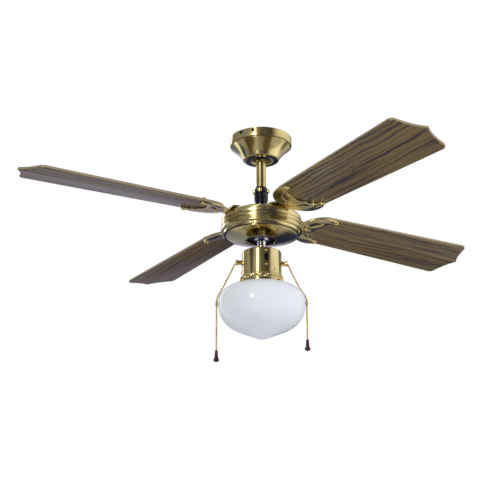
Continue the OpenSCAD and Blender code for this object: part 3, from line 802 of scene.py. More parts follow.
def bead_tree() -> bpy.types.GeometryNodeTree:
    """Threads beads along a chain's line, on a thin wire."""
    tree = Tree("beads on a wire")
    pitch = tree.ask("Pitch", "Float")
    radius = tree.ask("Bead radius", "Float")
    wire = tree.ask("Wire radius", "Float")
    curve = tree.add("GeometryNodeMeshToCurve", {"Mesh": tree.entry.outputs["Geometry"]})
    even = tree.add("GeometryNodeResampleCurve", {"Curve": curve.outputs[0], "Length": pitch},
                    mode="LENGTH")
    bead = tree.add("GeometryNodeMeshUVSphere", {"Segments": 10, "Rings": 6, "Radius": radius})
    beads = tree.add("GeometryNodeInstanceOnPoints",
                     {"Points": even.outputs[0], "Instance": bead.outputs["Mesh"]})
    ring = tree.add("GeometryNodeCurvePrimitiveCircle", {"Resolution": 8, "Radius": wire})
    thread = tree.add("GeometryNodeCurveToMesh", {
        "Curve": curve.outputs[0], "Profile Curve": ring.outputs["Curve"], "Fill Caps": True})
    # marks the wire so the bead chain's material paints it with the dark painted gap shade
    marked = tree.add("GeometryNodeStoreNamedAttribute",
                      {"Geometry": thread.outputs[0], "Name": "wire", "Value": 1.0},
                      data_type="FLOAT", domain="POINT")
    both = tree.add("GeometryNodeJoinGeometry")
    for part in (beads.outputs[0], marked.outputs[0]):
        tree.group.links.new(part, both.inputs[0])
    return tree.finish(both.outputs[0])


def rope_tree() -> bpy.types.GeometryNodeTree:
    """Sweeps a round strand along each of a band's twisted lines."""
    tree = Tree("twisted strands")
    radius = tree.ask("Strand radius", "Float")
    flat = tree.ask("Sides", "Int")
    curve = tree.add("GeometryNodeMeshToCurve", {"Mesh": tree.entry.outputs["Geometry"]})
    ring = tree.add("GeometryNodeCurvePrimitiveCircle", {"Resolution": flat, "Radius": radius})
    strand = tree.add("GeometryNodeCurveToMesh",
                      {"Curve": curve.outputs[0], "Profile Curve": ring.outputs["Curve"]})
    return tree.finish(strand.outputs[0])


@dataclass
class Workshop:
    """The finishes, the node trees and the shared fasteners that every sub-assembly uses."""

    finishes: Finishes = field(default_factory=Finishes)
    fasteners: bpy.types.GeometryNodeTree = field(default_factory=fastener_tree)
    beads: bpy.types.GeometryNodeTree = field(default_factory=bead_tree)
    rope: bpy.types.GeometryNodeTree = field(default_factory=rope_tree)

    def pan_screw(self, head: float, height: float, shank: float, length: float) -> bpy.types.Object:
        """A cross-head pan screw whose head stands up along Z from the origin.

        Args:
            head: Head radius in millimetres.
            height: Head height.
            shank: Shank radius.
            length: Shank length.

        Returns:
            The screw, to be placed by the fastener tree and then removed.
        """
        dome = [(head, 0.0), (head, height * 0.42), (head * 0.9, height * 0.7),
                (head * 0.66, height * 0.92), (head * 0.3, height), (0.0, height)]
        mesh = lathe_mesh([(0.0, -length), (shank, -length), (shank, 0.0), *dome], 20)
        screw = new_piece("screw", mesh)
        arm, wide, deep = head * 0.6, head * 0.11, height * 0.45
        cross = [box_mesh((-arm, -wide, height - deep), (arm, wide, height + 1), Matrix()),
                 box_mesh((-wide, -arm, height - deep), (wide, -wide, height + 1), Matrix()),
                 box_mesh((-wide, wide, height - deep), (wide, arm, height + 1), Matrix())]
        for cutter in cross:
            screw = cut(screw, [cutter])
        return screw

    def place(self, name: str, part: bpy.types.Object, frames: Sequence[Matrix],
              slot: Slot) -> bpy.types.Object:
        """Puts a fastener at several places as one piece.

        Args:
            name: The piece's name.
            part: The fastener, which is removed afterwards.
            frames: Where each goes, its Z along the frame's Z.
            slot: Its finish.

        Returns:
            The piece.
        """
        mesh = bpy.data.meshes.new(name)
        mesh.from_pydata([f.translation for f in frames], [], [])
        mesh.attributes.new("facing", "FLOAT_VECTOR", "POINT")
        mesh.attributes.new("twist", "FLOAT", "POINT")
        facing = [c for f in frames for c in f.to_3x3() @ Vector((0, 0, 1))]
        mesh.attributes["facing"].data.foreach_set("vector", facing)
        twists = [math.radians(37 * i + 20) for i in range(len(frames))]
        mesh.attributes["twist"].data.foreach_set("value", twists)
        piece = run_tree(name, mesh, self.fasteners,
                         {"Fastener": part, "Size": 1.0, "Finish": self.finishes.made[slot]})
        bpy.data.objects.remove(part)
        return piece

    def fit(self, piece: bpy.types.Object, slot: Slot, body: str, *nodes: str) -> bpy.types.Object:
        """Dresses a piece, lets it ride on its body and stand for its CAD nodes.

        Args:
            piece: The piece.
            slot: Its finish.
            body: The body it rides on.
            nodes: The CAD nodes that it stands for.

        Returns:
            The piece.
        """
        self.finishes.dress(piece, slot)
        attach(piece, body)
        if nodes:
            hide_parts(*nodes)
        log.info("%s on %s: %d faces", piece.name, body, len(piece.data.polygons))
        return piece

    def keep(self, slot: Slot, *nodes: str) -> None:
        """Dresses CAD nodes that are shown as they are."""
        for node in nodes:
            self.finishes.dress(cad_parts[node], slot)


# ---- the fan's sub-assemblies ----


@dataclass
class Canopy:
    """The ceiling canopy with its bracket, terminal block and side screws."""

    shop: Workshop
    collar_h: float = 18.0
    low_r: float = 37.0
    mouth_r: float = 22.5
    hollow: float = 2.8
    wall: float = 1.3
    bracket_turn: float = -117.2
    screw_turn: float = 12.8
    screw_z: float = -6.0

    def outline(self) -> list[Point]:
        """The wall's outline: collar, groove, belled cone, rolled lip and the inside."""
        r, low = CANOPY_R / MM, CANOPY_LOW / MM
        top_r, top_z, steps = r - 3.6, -self.collar_h - 2.0, 20
        cone = []
        for i in range(steps + 1):
            t = i / steps
            cone.append((top_r - (top_r - self.low_r) * t - self.hollow * math.sin(math.pi * t),
                         top_z - (low * -1 + top_z) * t))
        collar = [(r - 0.5, 0), (r, -0.6), (r, -self.collar_h + 1.3), (r - 0.4, -self.collar_h + 0.4),
                  (r - 1.2, -self.collar_h), (r - 4.4, -self.collar_h - 0.1),
                  (r - 4.5, -self.collar_h - 1.7)]
        lip = [(self.low_r - 1.2, low), (self.mouth_r + 1.2, low), (self.mouth_r, low + 0.5),
               (self.mouth_r + 0.4, low + self.wall)]
        inner = [(x - self.wall - 0.3, z + (self.wall if i == 0 else 0))
                 for i, (x, z) in enumerate(reversed(cone))]
        inside = [(r - self.wall - 1.8, -self.collar_h + 1), (r - self.wall, -self.collar_h + 2),
                  (r - self.wall, 0)]
        return collar + cone[:-1] + [(self.low_r + 0.15, low + 0.6)] + lip + inner + inside

    def build(self) -> None:
        """Builds the canopy and dresses the bracket."""
        shell = new_piece("canopy_shell", lathe_mesh(self.outline(), 192))
        cutters = []
        places = []
        for end in (0, 180):
            for side in (-1, 1):
                turn = math.radians(self.bracket_turn + end + side * self.screw_turn)
                frame_out = facing_out(turn, CANOPY_R / MM, self.screw_z)
                places.append(facing_out(turn, CANOPY_R / MM + 0.1, self.screw_z))
                hole = [(0.0, -3.0), (2.3, -3.0), (2.3, 2.0), (0.0, 2.0)]
                cutters.append(lathe_mesh(hole, 24, frame_out))
            slot_place = Matrix.Rotation(math.radians(self.bracket_turn + end - self.screw_turn), 4, "Z")
            r = CANOPY_R / MM
            cutters.append(box_mesh((r - 3, 2.6, self.screw_z - 2.0), (r + 3, 8, self.screw_z + 2.0),
                                    slot_place))
        shell = cut(shell, cutters)
        self.shop.fit(shell, Slot.ANTIQUE_BRASS, "ceiling_mount", "canopy")
        screw = self.shop.pan_screw(3.4, 2.2, 2.0, 4.0)
        screws = self.shop.place("canopy_side_screws", screw, places, Slot.BLACK_METAL)
        self.shop.fit(screws, Slot.BLACK_METAL, "ceiling_mount", "canopy_screws")
        self.shop.keep(Slot.ZINC_STEEL, "ceiling_bracket")
        self.shop.keep(Slot.PALE_PLASTIC, "terminal_block")


@dataclass
class Hanger:
    """The ball, downrod and ribbed coupler with its four screws."""

    shop: Workshop
    rod_r: float = 10.5
    rod_wall: float = 2.0
    rod_seat: float = 38.0
    rod_top: float = -14.0
    r: float = 14.4
    waist_r: float = 11.4
    shaft_r: float = 8.05
    low: float = 7.0
    top: float = 64.0
    ribs: int = 5
    screw_z: float = 55.0

    def coupler_outline(self) -> list[Point]:
        """The coupler's outline, with rolled ribs above a waist."""
        side = [(self.shaft_r, self.low), (self.waist_r - 0.5, self.low), (self.waist_r, self.low + 0.5),
                (self.waist_r, 27.5), (self.waist_r + 0.8, 29.0), (self.r - 0.5, 33.0),
                (self.r - 0.9, 34.4)]
        for i in range(self.ribs):
            middle = 35.6 + 2.8 * i
            side += [(self.r - 0.95, middle - 0.6), (self.r - 0.2, middle), (self.r, middle + 0.6),
                     (self.r - 0.2, middle + 1.2), (self.r - 0.95, middle + 1.8)]
        bore = self.rod_r + 0.05
        side += [(self.r - 0.3, 49.6), (self.r, 50.2), (self.r, 57.0), (self.r - 0.6, 58.6),
                 (11.9, self.top - 0.2), (bore + 0.4, self.top), (bore, self.top - 0.4),
                 (bore, self.rod_seat), (self.shaft_r, self.rod_seat - 0.01)]
        return side

    def build(self) -> None:
        """Builds the rod and the coupler and dresses the ball."""
        low = self.rod_seat + MOTOR_TOP / MM
        inner = self.rod_r - self.rod_wall
        tube = [(inner + 0.4, low), (self.rod_r - 0.5, low), (self.rod_r, low + 0.5),
                (self.rod_r, self.rod_top - 0.5), (self.rod_r - 0.5, self.rod_top),
                (inner + 0.4, self.rod_top), (inner, self.rod_top - 0.4), (inner, low + 0.4)]
        rod = new_piece("downrod_tube", lathe_mesh(tube, 96))
        self.shop.fit(rod, Slot.ANTIQUE_BRASS, "hanging_unit", "downrod")
        coupler = new_piece("ribbed_coupler", lathe_mesh(self.coupler_outline(), 96, at_motor()))
        self.shop.fit(coupler, Slot.BLACK_METAL, "hanging_unit", "coupler")
        frames = [at_motor() @ facing_out(FIRST_BLADE + TAU * (k / 4 - 0.125), self.r + 0.1, self.screw_z)
                  for k in range(4)]
        screws = self.shop.place("coupler_pan_screws", self.shop.pan_screw(4.8, 3.2, 2.4, 3.5), frames,
                                 Slot.BRASS_SCREWS)
        self.shop.fit(screws, Slot.BRASS_SCREWS, "hanging_unit", "coupler_screws")
        ball = finished_copy("hanger_ball", "hanger_ball_moulding")
        self.shop.fit(ball, Slot.BLACK_PLASTIC, "hanging_unit", "hanger_ball")
        self.shop.keep(Slot.PLATED_STEEL, "hanger_pin", "clevis_pin", "motor_shaft")


@dataclass
class Motor:
    """The banded drum, its rotor rim and the bowl cover below."""

    shop: Workshop
    r: float = 83.5
    shoulder: float = 8.5
    lip_z: float = -35.0
    boss_r: float = 21.5
    boss_top: float = 7.0
    rim_r: float = 78.5
    rim_low: float = -41.5
    bowl_r: float = 73.0
    bowl_h: float = 11.8
    mouth_r: float = 29.0
    vents: int = 16
    screw_z: float = -38.5

    def drum_outline(self) -> list[Point]:
        """The drum's outline: boss, low crown, round shoulder and stepped bands."""
        r = self.r
        crown = [(self.boss_r - 3.95, self.boss_top), (self.boss_r - 0.6, self.boss_top),
                 (self.boss_r, self.boss_top - 0.4), (self.boss_r + 3, self.boss_top - 1.4), (28, 3.4),
                 (34, 1.3), (42, 0)]
        shoulder = arc((r - 1.2 - self.shoulder, -self.shoulder), self.shoulder, 90, 0, 14)
        bands = [(r - 1.2, -14.9), (r - 1.5, -15.4), (r - 3.1, -15.6), (r - 3.1, -17.0), (r - 1.2, -17.1),
                 (r - 0.7, -17.6), (r - 0.6, -18.2), (r - 0.6, -22.8), (r - 0.8, -23.6), (r - 3.0, -23.9),
                 (r - 3.0, -25.4), (r - 0.5, -25.6), (r - 0.1, -26.1), (r, -26.8), (r, -30.8),
                 (r + 0.2, -31.6), (r + 0.6, -32.1), (r + 0.7, -33.0), (r + 0.5, self.lip_z + 0.3),
                 (r, self.lip_z)]
        inside = [(79.5, self.lip_z), (79.5, -10), (74, -2.6), (self.boss_r, -2.6), (self.boss_r, -6),
                  (17.5, -6)]
        return crown + shoulder + bands + inside

    def bowl_outline(self) -> list[Point]:
        """The bowl cover's outline, from the rim's inside down to its mouth."""
        steps, wall, drop = 26, 1.4, self.bowl_h - 1
        dish = []
        for i in range(steps + 1):
            t = i / steps
            sag = 0.78 * t**0.8 + 0.22 * math.sin(math.pi / 2 * t)
            dish.append((self.bowl_r - (self.bowl_r - self.mouth_r - 3) * t, self.rim_low - 1 - drop * sag))
        low = self.rim_low - self.bowl_h
        inner = [(x - 0.5, z + wall) for x, z in reversed(dish)]
        top = [(69.8, self.lip_z - 0.5), (71.2, self.lip_z - 0.5), (71.2, self.rim_low - 0.05),
               (self.bowl_r - 0.4, self.rim_low - 0.05), (self.bowl_r + 0.1, self.rim_low - 0.5)]
        mouth = [(self.mouth_r + 1.6, low + 0.05), (self.mouth_r + 0.4, low + 0.2),
                 (self.mouth_r, low + 0.7), (self.mouth_r + 0.3, low + wall + 0.2)]
        return top + dish + mouth + inner + [(69.8, self.rim_low - 1)]

    def build(self) -> None:
        """Builds the drum, rim and bowl and dresses what is inside."""
        drum = new_piece("motor_drum", lathe_mesh(self.drum_outline(), 224, at_motor()))
        cutters = []
        for k in range(self.vents):
            turn = FIRST_BLADE + TAU * (k + 0.5) / self.vents
            cutters.append(box_mesh((31, -2, -8), (47, 2, 8), at_motor(turn)))
        drum = cut(drum, cutters)
        self.shop.fit(drum, Slot.ANTIQUE_BRASS, "rotor", "motor_housing")
        bowl = new_piece("bowl_cover_turning", lathe_mesh(self.bowl_outline(), 192, at_motor()))
        self.shop.fit(bowl, Slot.ANTIQUE_BRASS, "rotor", "bowl_cover")
        rim = finished_copy("rotor_base", "rotor_base_casting")
        self.shop.fit(rim, Slot.ANTIQUE_BRASS, "rotor", "rotor_base")
        frames = [at_motor() @ facing_out(FIRST_BLADE + TAU * (k / 4 + 0.125), self.rim_r + 0.1, self.screw_z)
                  for k in range(4)]
        screws = self.shop.place("rim_screws", self.shop.pan_screw(3.0, 2.0, 1.5, 6.0), frames,
                                 Slot.BRASS_SCREWS)
        self.shop.fit(screws, Slot.BRASS_SCREWS, "rotor", "cover_screws")
        self.shop.keep(Slot.ZINC_STEEL, "stator_core", "rotor_ring")
        self.shop.keep(Slot.PLATED_STEEL, "upper_bearing", "lower_bearing")
        self.shop.keep(Slot.COPPER_WIRE, "stator_windings")


@dataclass
class Blades:
    """Four walnut blades on crescent irons, with their screws and nuts."""

    shop: Workshop
    reach: float = 530.0
    tip_half_w: float = 62.6
    tip_corner_u: float = 505.0
    tip_corner_r: float = 11.0
    root_half_w: float = 50.0
    root_u: float = 148.0
    thick: float = 6.0
    edge: float = 1.5
    iron_t: float = 3.2
    iron_edge: float = 0.9
    horn_u: float = 141.0
    horn_r: float = 52.5
    plate_start: float = 92.0
    neck_half_w: float = 22.0
    foot_half_w: float = 26.0
    foot_v: float = 19.0
    foot_screw: Point = (67.0, 11.0)
    root_screw: Point = (108.0, 0.0)
    horn_screw: Point = (160.0, 43.0)
    screw_r: float = 2.4
    grain_step: Point = (1.7, 0.31)

    def blade_frame(self, k: int) -> Matrix:
        """A blade's own frame: X out along it, Z out of its top face."""
        tilt = Matrix.Rotation(DROOP, 4, "Y") @ Matrix.Rotation(PITCH, 4, "X")
        return self.foot_frame(k) @ tilt

    def foot_frame(self, k: int) -> Matrix:
        """The frame of an iron's foot, flat on the drum and turned towards its blade."""
        return at_motor(FIRST_BLADE + TAU * k / BLADES)

    def hole(self, at: Point) -> list[Point]:
        """A screw's clearance hole in a blade or an iron."""
        return arc(at, self.screw_r + 0.05, 0, 345, 23)

    def screw_places(self) -> list[Point]:
        """The three screws of one blade."""
        u, v = self.horn_screw
        return [self.root_screw, (u, v), (u, -v)]

    def blade_outline(self) -> list[Point]:
        """A blade from above: round root, flaring sides and an ogee tip with a point."""
        flare = (self.tip_half_w - self.root_half_w) / (self.tip_corner_u - self.root_u)
        slope = math.degrees(math.atan(flare))
        centre = (self.tip_corner_u - self.tip_corner_r + 3, self.tip_half_w - self.tip_corner_r)
        corner = arc(centre, self.tip_corner_r, 90 + slope, 18, 8)
        u, v = corner[-1]
        tip = [(u + (self.reach - u) * (0.55 * t + 0.45 * t**3), v * (1 - t))
               for t in (i / 14 for i in range(1, 15))]
        upper = arc((self.root_u, 0), self.root_half_w, 180, 90 + slope, 24) + corner + tip
        return upper + [(x, -y) for x, y in reversed(upper[1:-1])]

    def iron_outline(self) -> list[Point]:
        """The crescent of an iron: round back, two horns and a scalloped hollow."""
        u, r = self.horn_u, self.horn_r
        start = math.degrees(math.asin(self.neck_half_w / r))
        back = arc((u, 0), r, 180 - start, 70, 18)
        horn = arc((160.6, 42.2), 6.2, 70, -80, 8)
        lobe = arc((157.0, 19.0), 17.0, 90, 185, 10)
        hollow = arc((158.0, 0.0), 25.0, 135.8, 180, 6)
        half = [(self.plate_start, self.neck_half_w), *back, *horn, *lobe, *hollow]
        return half + [(x, -y) for x, y in reversed(half[:-1])]

    def slot_outline(self, side: int) -> list[Point]:
        """One curved slot of an iron, a lens that is wide in its middle."""
        spine = [(114.6, 9.8), (118.6, 16.2), (123.2, 22.4), (128.4, 27.6), (134.2, 31.8)]
        half = [0.5, 2.4, 3.2, 2.4, 0.5]
        left, right = [], []
        for i, (x, y) in enumerate(spine):
            ahead = Vector(spine[min(i + 1, 4)]) - Vector(spine[max(i - 1, 0)])
            ahead.normalize()
            left.append((x - ahead.y * half[i], side * (y + ahead.x * half[i])))
            right.append((x + ahead.y * half[i], side * (y - ahead.x * half[i])))
        return left + right[::-1]

    def foot_outline(self) -> list[Point]:
        """The iron's foot, flat on the drum: three lobes and a waist."""
        lobe = arc((60, self.foot_v), 7.0, 90, 215, 8)
        nose = arc((59, 0), 7.0, 125, 180, 5)
        half = [(81.5, self.neck_half_w), (74, self.foot_half_w), *lobe, *nose]
        return half + [(x, -y) for x, y in reversed(half[:-1])]

    def neck(self, k: int) -> bpy.types.Mesh:
        """The iron's twisted neck between its foot and its crescent.

        Args:
            k: Which blade.

        Returns:
            The mesh.
        """
        ring = softened([(-1, -1), (1, -1), (1, 1), (-1, 1)], 0.3, 3)
        foot, blade = self.foot_frame(k), self.blade_frame(k)
        steps, bm, rings = 10, bmesh.new(), []
        for i in range(steps + 1):
            t = i / steps
            blend = t * t * (3 - 2 * t)
            u = 79.5 + 14.5 * t
            verts = []
            for a, b in ring:
                v, w = a * (self.neck_half_w - 0.1), b * (self.iron_t / 2 - 0.02)
                near = foot @ Vector((u * MM, v * MM, (self.iron_t / 2 + w) * MM))
                far = blade @ Vector((u * MM, v * MM, (-self.thick / 2 - self.iron_t / 2 + w) * MM))
                verts.append(bm.verts.new(near.lerp(far, blend)))
            rings.append(verts)
        for low, high in zip(rings, rings[1:]):
            for j in range(len(ring)):
                m = (j + 1) % len(ring)
                bm.faces.new((low[j], low[m], high[m], high[j]))
        bm.faces.new(rings[0])
        bm.faces.new(rings[-1])
        bmesh.ops.recalc_face_normals(bm, faces=bm.faces)
        mesh = bpy.data.meshes.new("neck")
        bm.to_mesh(mesh)
        bm.free()
        return mesh

    def build_blade(self, k: int) -> None:
        """Builds one blade, with its grain's place in a UV map in metres."""
        holes = [self.hole(at) for at in self.screw_places()]
        blade = plate(f"walnut_blade_{k + 1}", self.blade_outline(), holes, self.thick, self.edge, 3)
        blade.data.uv_layers.new(name="grain")
        blade.data.uv_layers.new(name="edge")
        grain, edge = [], []
        for loop in blade.data.loops:
            x, y, z = blade.data.vertices[loop.vertex_index].co
            grain += [x + self.grain_step[0] * k, y + 0.6 * z + self.grain_step[1] * k]
            # side faces get 1 in the "edge" map, which is where the walnut's painted edge highlight goes
            edge += [1.0 if abs(z) < (self.thick / 2 - 0.9 * self.edge) * MM else 0.0, 0.0]
        blade.data.uv_layers["grain"].data.foreach_set("uv", grain)
        blade.data.uv_layers["edge"].data.foreach_set("uv", edge)
        blade.data.transform(self.blade_frame(k))
        smooth(blade.data, 25)
        self.shop.fit(blade, Slot.WALNUT, "rotor", f"blade_{k + 1}")

    def build_iron(self, k: int) -> None:
        """Builds one iron from its foot, neck and slotted crescent."""
        holes = [self.hole(at) for at in self.screw_places()]
        holes += [self.slot_outline(1), self.slot_outline(-1)]
        crescent = plate("crescent", self.iron_outline(), holes, self.iron_t, self.iron_edge)
        under = Matrix.Translation((0, 0, -(self.thick + self.iron_t) / 2 * MM))
        crescent.data.transform(self.blade_frame(k) @ under)
        u, v = self.foot_screw
        screws = [self.hole((u, side * v)) for side in (1, -1)]
        foot = plate("foot", self.foot_outline(), screws, self.iron_t, self.iron_edge)
        raised = Matrix.Translation((0, 0, self.iron_t / 2 * MM))
        foot.data.transform(self.foot_frame(k) @ raised)
        iron = joined(f"crescent_iron_{k + 1}", [crescent.data, foot.data, self.neck(k)])
        bpy.data.objects.remove(crescent)
        bpy.data.objects.remove(foot)
        self.shop.fit(iron, Slot.ANTIQUE_BRASS, "rotor", f"blade_iron_{k + 1}")

    def build_fasteners(self) -> None:
        """Places the blade screws, their nuts and the foot screws."""
        flip = Matrix.Rotation(math.pi, 4, "X")
        below = Matrix.Translation((0, 0, -(self.thick / 2 + self.iron_t + 0.02) * MM)) @ flip
        above = Matrix.Translation((0, 0, (self.thick / 2 + 0.05) * MM))
        places = [self.blade_frame(k) @ Matrix.Translation((u * MM, v * MM, 0))
                  for k in range(BLADES) for u, v in self.screw_places()]
        screw = self.shop.pan_screw(4.2, 2.6, self.screw_r, self.iron_t + self.thick + 2.5)
        screws = self.shop.place("blade_pan_screws", screw, [p @ below for p in places], Slot.BRASS_SCREWS)
        self.shop.fit(screws, Slot.BRASS_SCREWS, "rotor", "blade_screws")
        crown = [(0.0, 0.0), (4.3, 0.0), (4.4, 0.3), (4.4, 2.0), (4.0, 2.4), (3.2, 2.5), (3.1, 3.3),
                 (2.4, 3.8), (0.0, 3.8)]
        nut = new_piece("nut", lathe_mesh(crown, 6))
        nuts = self.shop.place("blade_cap_nuts", nut, [p @ above for p in places], Slot.BRASS_SCREWS)
        self.shop.fit(nuts, Slot.BRASS_SCREWS, "rotor", "blade_nuts")
        u, v = self.foot_screw
        head_z = (self.iron_t + 0.02) * MM
        feet = [self.foot_frame(k) @ Matrix.Translation((u * MM, side * v * MM, head_z))
                for k in range(BLADES) for side in (-1, 1)]
        foot_screw = self.shop.pan_screw(4.2, 3.0, self.screw_r, self.iron_t + 2.4)
        heads = self.shop.place("iron_foot_screws", foot_screw, feet, Slot.BRASS_SCREWS)
        self.shop.fit(heads, Slot.BRASS_SCREWS, "rotor", "iron_screws")

    def build(self) -> None:
        """Builds the blades, the irons and their fasteners."""
        for k in range(BLADES):
            self.build_blade(k)
            self.build_iron(k)
        self.build_fasteners()


@dataclass
class SwitchHousing:
    """The can under the motor, with the reversing switch, the bell outlets and the nipple above it."""

    shop: Workshop
    r: float = 40.6
    top: float = -78.7
    low: float = -131.0
    wall: float = 1.0
    nipple_r: float = 8.4
    nipple_top: float = -49.5
    nipple_low: float = -88.0
    thread: float = 1.3
    switch_turn: float = math.radians(-76.5)
    switch_z: float = -100.6
    switch_screw_dz: float = 14.75
    bell_z: float = -101.7
    bell_low_r: float = 40.7
    bell_mouth: float = 52.6
    screw_turns: tuple[float, ...] = (-50.0, 70.0, 190.0)
    screw_z: float = -124.0

    def can_outline(self) -> list[Point]:
        """The can's wall with a rolled top corner."""
        bore = self.nipple_r + 0.05
        corner = arc((self.r - 3, self.top - 3), 3.0, 90, 0, 8)
        inner = arc((self.r - 3, self.top - 3), 2.0, 0, 90, 4)
        return [(bore, self.top), *corner, (self.r, self.low + 0.3), (self.r - 0.3, self.low),
                (self.r - self.wall, self.low), *inner, (bore, self.top - self.wall)]

    def nipple_outline(self) -> list[Point]:
        """The threaded nipple, its thread as close ridges."""
        side: list[Point] = []
        z = self.nipple_top
        while z - self.thread > self.nipple_low:
            side += [(self.nipple_r - 0.55, z - 0.1), (self.nipple_r, z - self.thread * 0.5)]
            z -= self.thread
        return [(5.0, self.nipple_top), (self.nipple_r - 0.6, self.nipple_top), *side,
                (self.nipple_r - 0.6, self.nipple_low), (5.0, self.nipple_low)]

    def bell_outline(self) -> list[Point]:
        """A chain's bell-mouth outlet, from its shank to its flared lip."""
        low, mouth = self.bell_low_r, self.bell_mouth
        return [(2.1, 36), (3.5, 36), (3.5, low), (5.2, low), (5.4, low + 0.3), (5.4, low + 2.1),
                (5.1, low + 2.5), (4.1, low + 2.9), (4.15, low + 4.5), (4.5, 47.4), (5.2, 50),
                (6.0, mouth - 0.9), (6.25, mouth - 0.4), (6.1, mouth), (5.6, mouth), (4.3, 50.2),
                (3.2, 48.6), (2.1, 46)]

    def build(self) -> None:
        """Builds the can and its fittings."""
        shop, motor = self.shop, at_motor()
        can = new_piece("switch_can", lathe_mesh(self.can_outline(), 160, motor))
        slot_place = (motor @ Matrix.Rotation(self.switch_turn, 4, "Z")
                      @ Matrix.Translation((0, 0, self.switch_z * MM)))
        rounded = arc((0, 3.6), 3.9, 0, 180, 12) + arc((0, -3.6), 3.9, 180, 360, 12)
        slot = plate("slot", rounded, [], 10.0, 0.2)
        upright = Matrix(((0, 0, 1, 0), (1, 0, 0, 0), (0, 1, 0, 0), (0, 0, 0, 1)))
        slot.data.transform(slot_place @ Matrix.Translation((self.r * MM, 0, 0)) @ upright)
        can = cut(can, [slot.data])
        bpy.data.objects.remove(slot)
        shop.fit(can, Slot.POLISHED_BRASS, "hanging_unit", "switch_housing")
        nipple = new_piece("threaded_nipple", lathe_mesh(self.nipple_outline(), 64, motor))
        shop.fit(nipple, Slot.PLATED_STEEL, "hanging_unit", "nipple")
        shop.fit(finished_copy("lower_plate", "lower_plate_finished"), Slot.BLACK_METAL, "hanging_unit",
                 "lower_plate")
        for node in ("lock_washer", "nipple_nuts"):
            shop.fit(finished_copy(node, node + "_finished"), Slot.PLATED_STEEL, "hanging_unit", node)
        outlets = [lathe_mesh(self.bell_outline(), 40, motor @ facing_out(turn, 0, self.bell_z))
                   for turn in CHAIN_TURNS.values()]
        bells = joined("bell_outlets", outlets)
        shop.fit(bells, Slot.BRASS_SCREWS, "hanging_unit", "chain_bells")
        for side in CHAIN_TURNS:
            stem = finished_copy(f"pull_actuator_{side}", f"pull_stem_{side}")
            shop.fit(stem, Slot.BRASS_SCREWS, f"{side}_pull", f"pull_actuator_{side}")
        frames = [motor @ facing_out(math.radians(t), self.r + 0.1, self.screw_z) for t in self.screw_turns]
        low_screws = shop.place("can_screws", shop.pan_screw(2.8, 1.8, 1.4, 4.0), frames, Slot.BRASS_SCREWS)
        shop.fit(low_screws, Slot.BRASS_SCREWS, "hanging_unit", "switch_housing_screws")
        frames = [motor @ facing_out(self.switch_turn, self.r + 0.1, self.switch_z + s * self.switch_screw_dz)
                  for s in (-1, 1)]
        switch_screws = shop.place("switch_screws", shop.pan_screw(2.5, 1.6, 1.3, 4.0), frames,
                                   Slot.BRASS_SCREWS)
        shop.fit(switch_screws, Slot.BRASS_SCREWS, "hanging_unit", "reverse_switch_screws")
        shop.fit(finished_copy("reverse_slider", "reverse_slider_knob"), Slot.BLACK_PLASTIC,
                 "switch_slider", "reverse_slider")
        shop.keep(Slot.BLACK_PLASTIC, "reverse_switch", "pull_switches")
        shop.keep(Slot.PALE_PLASTIC, "capacitor")


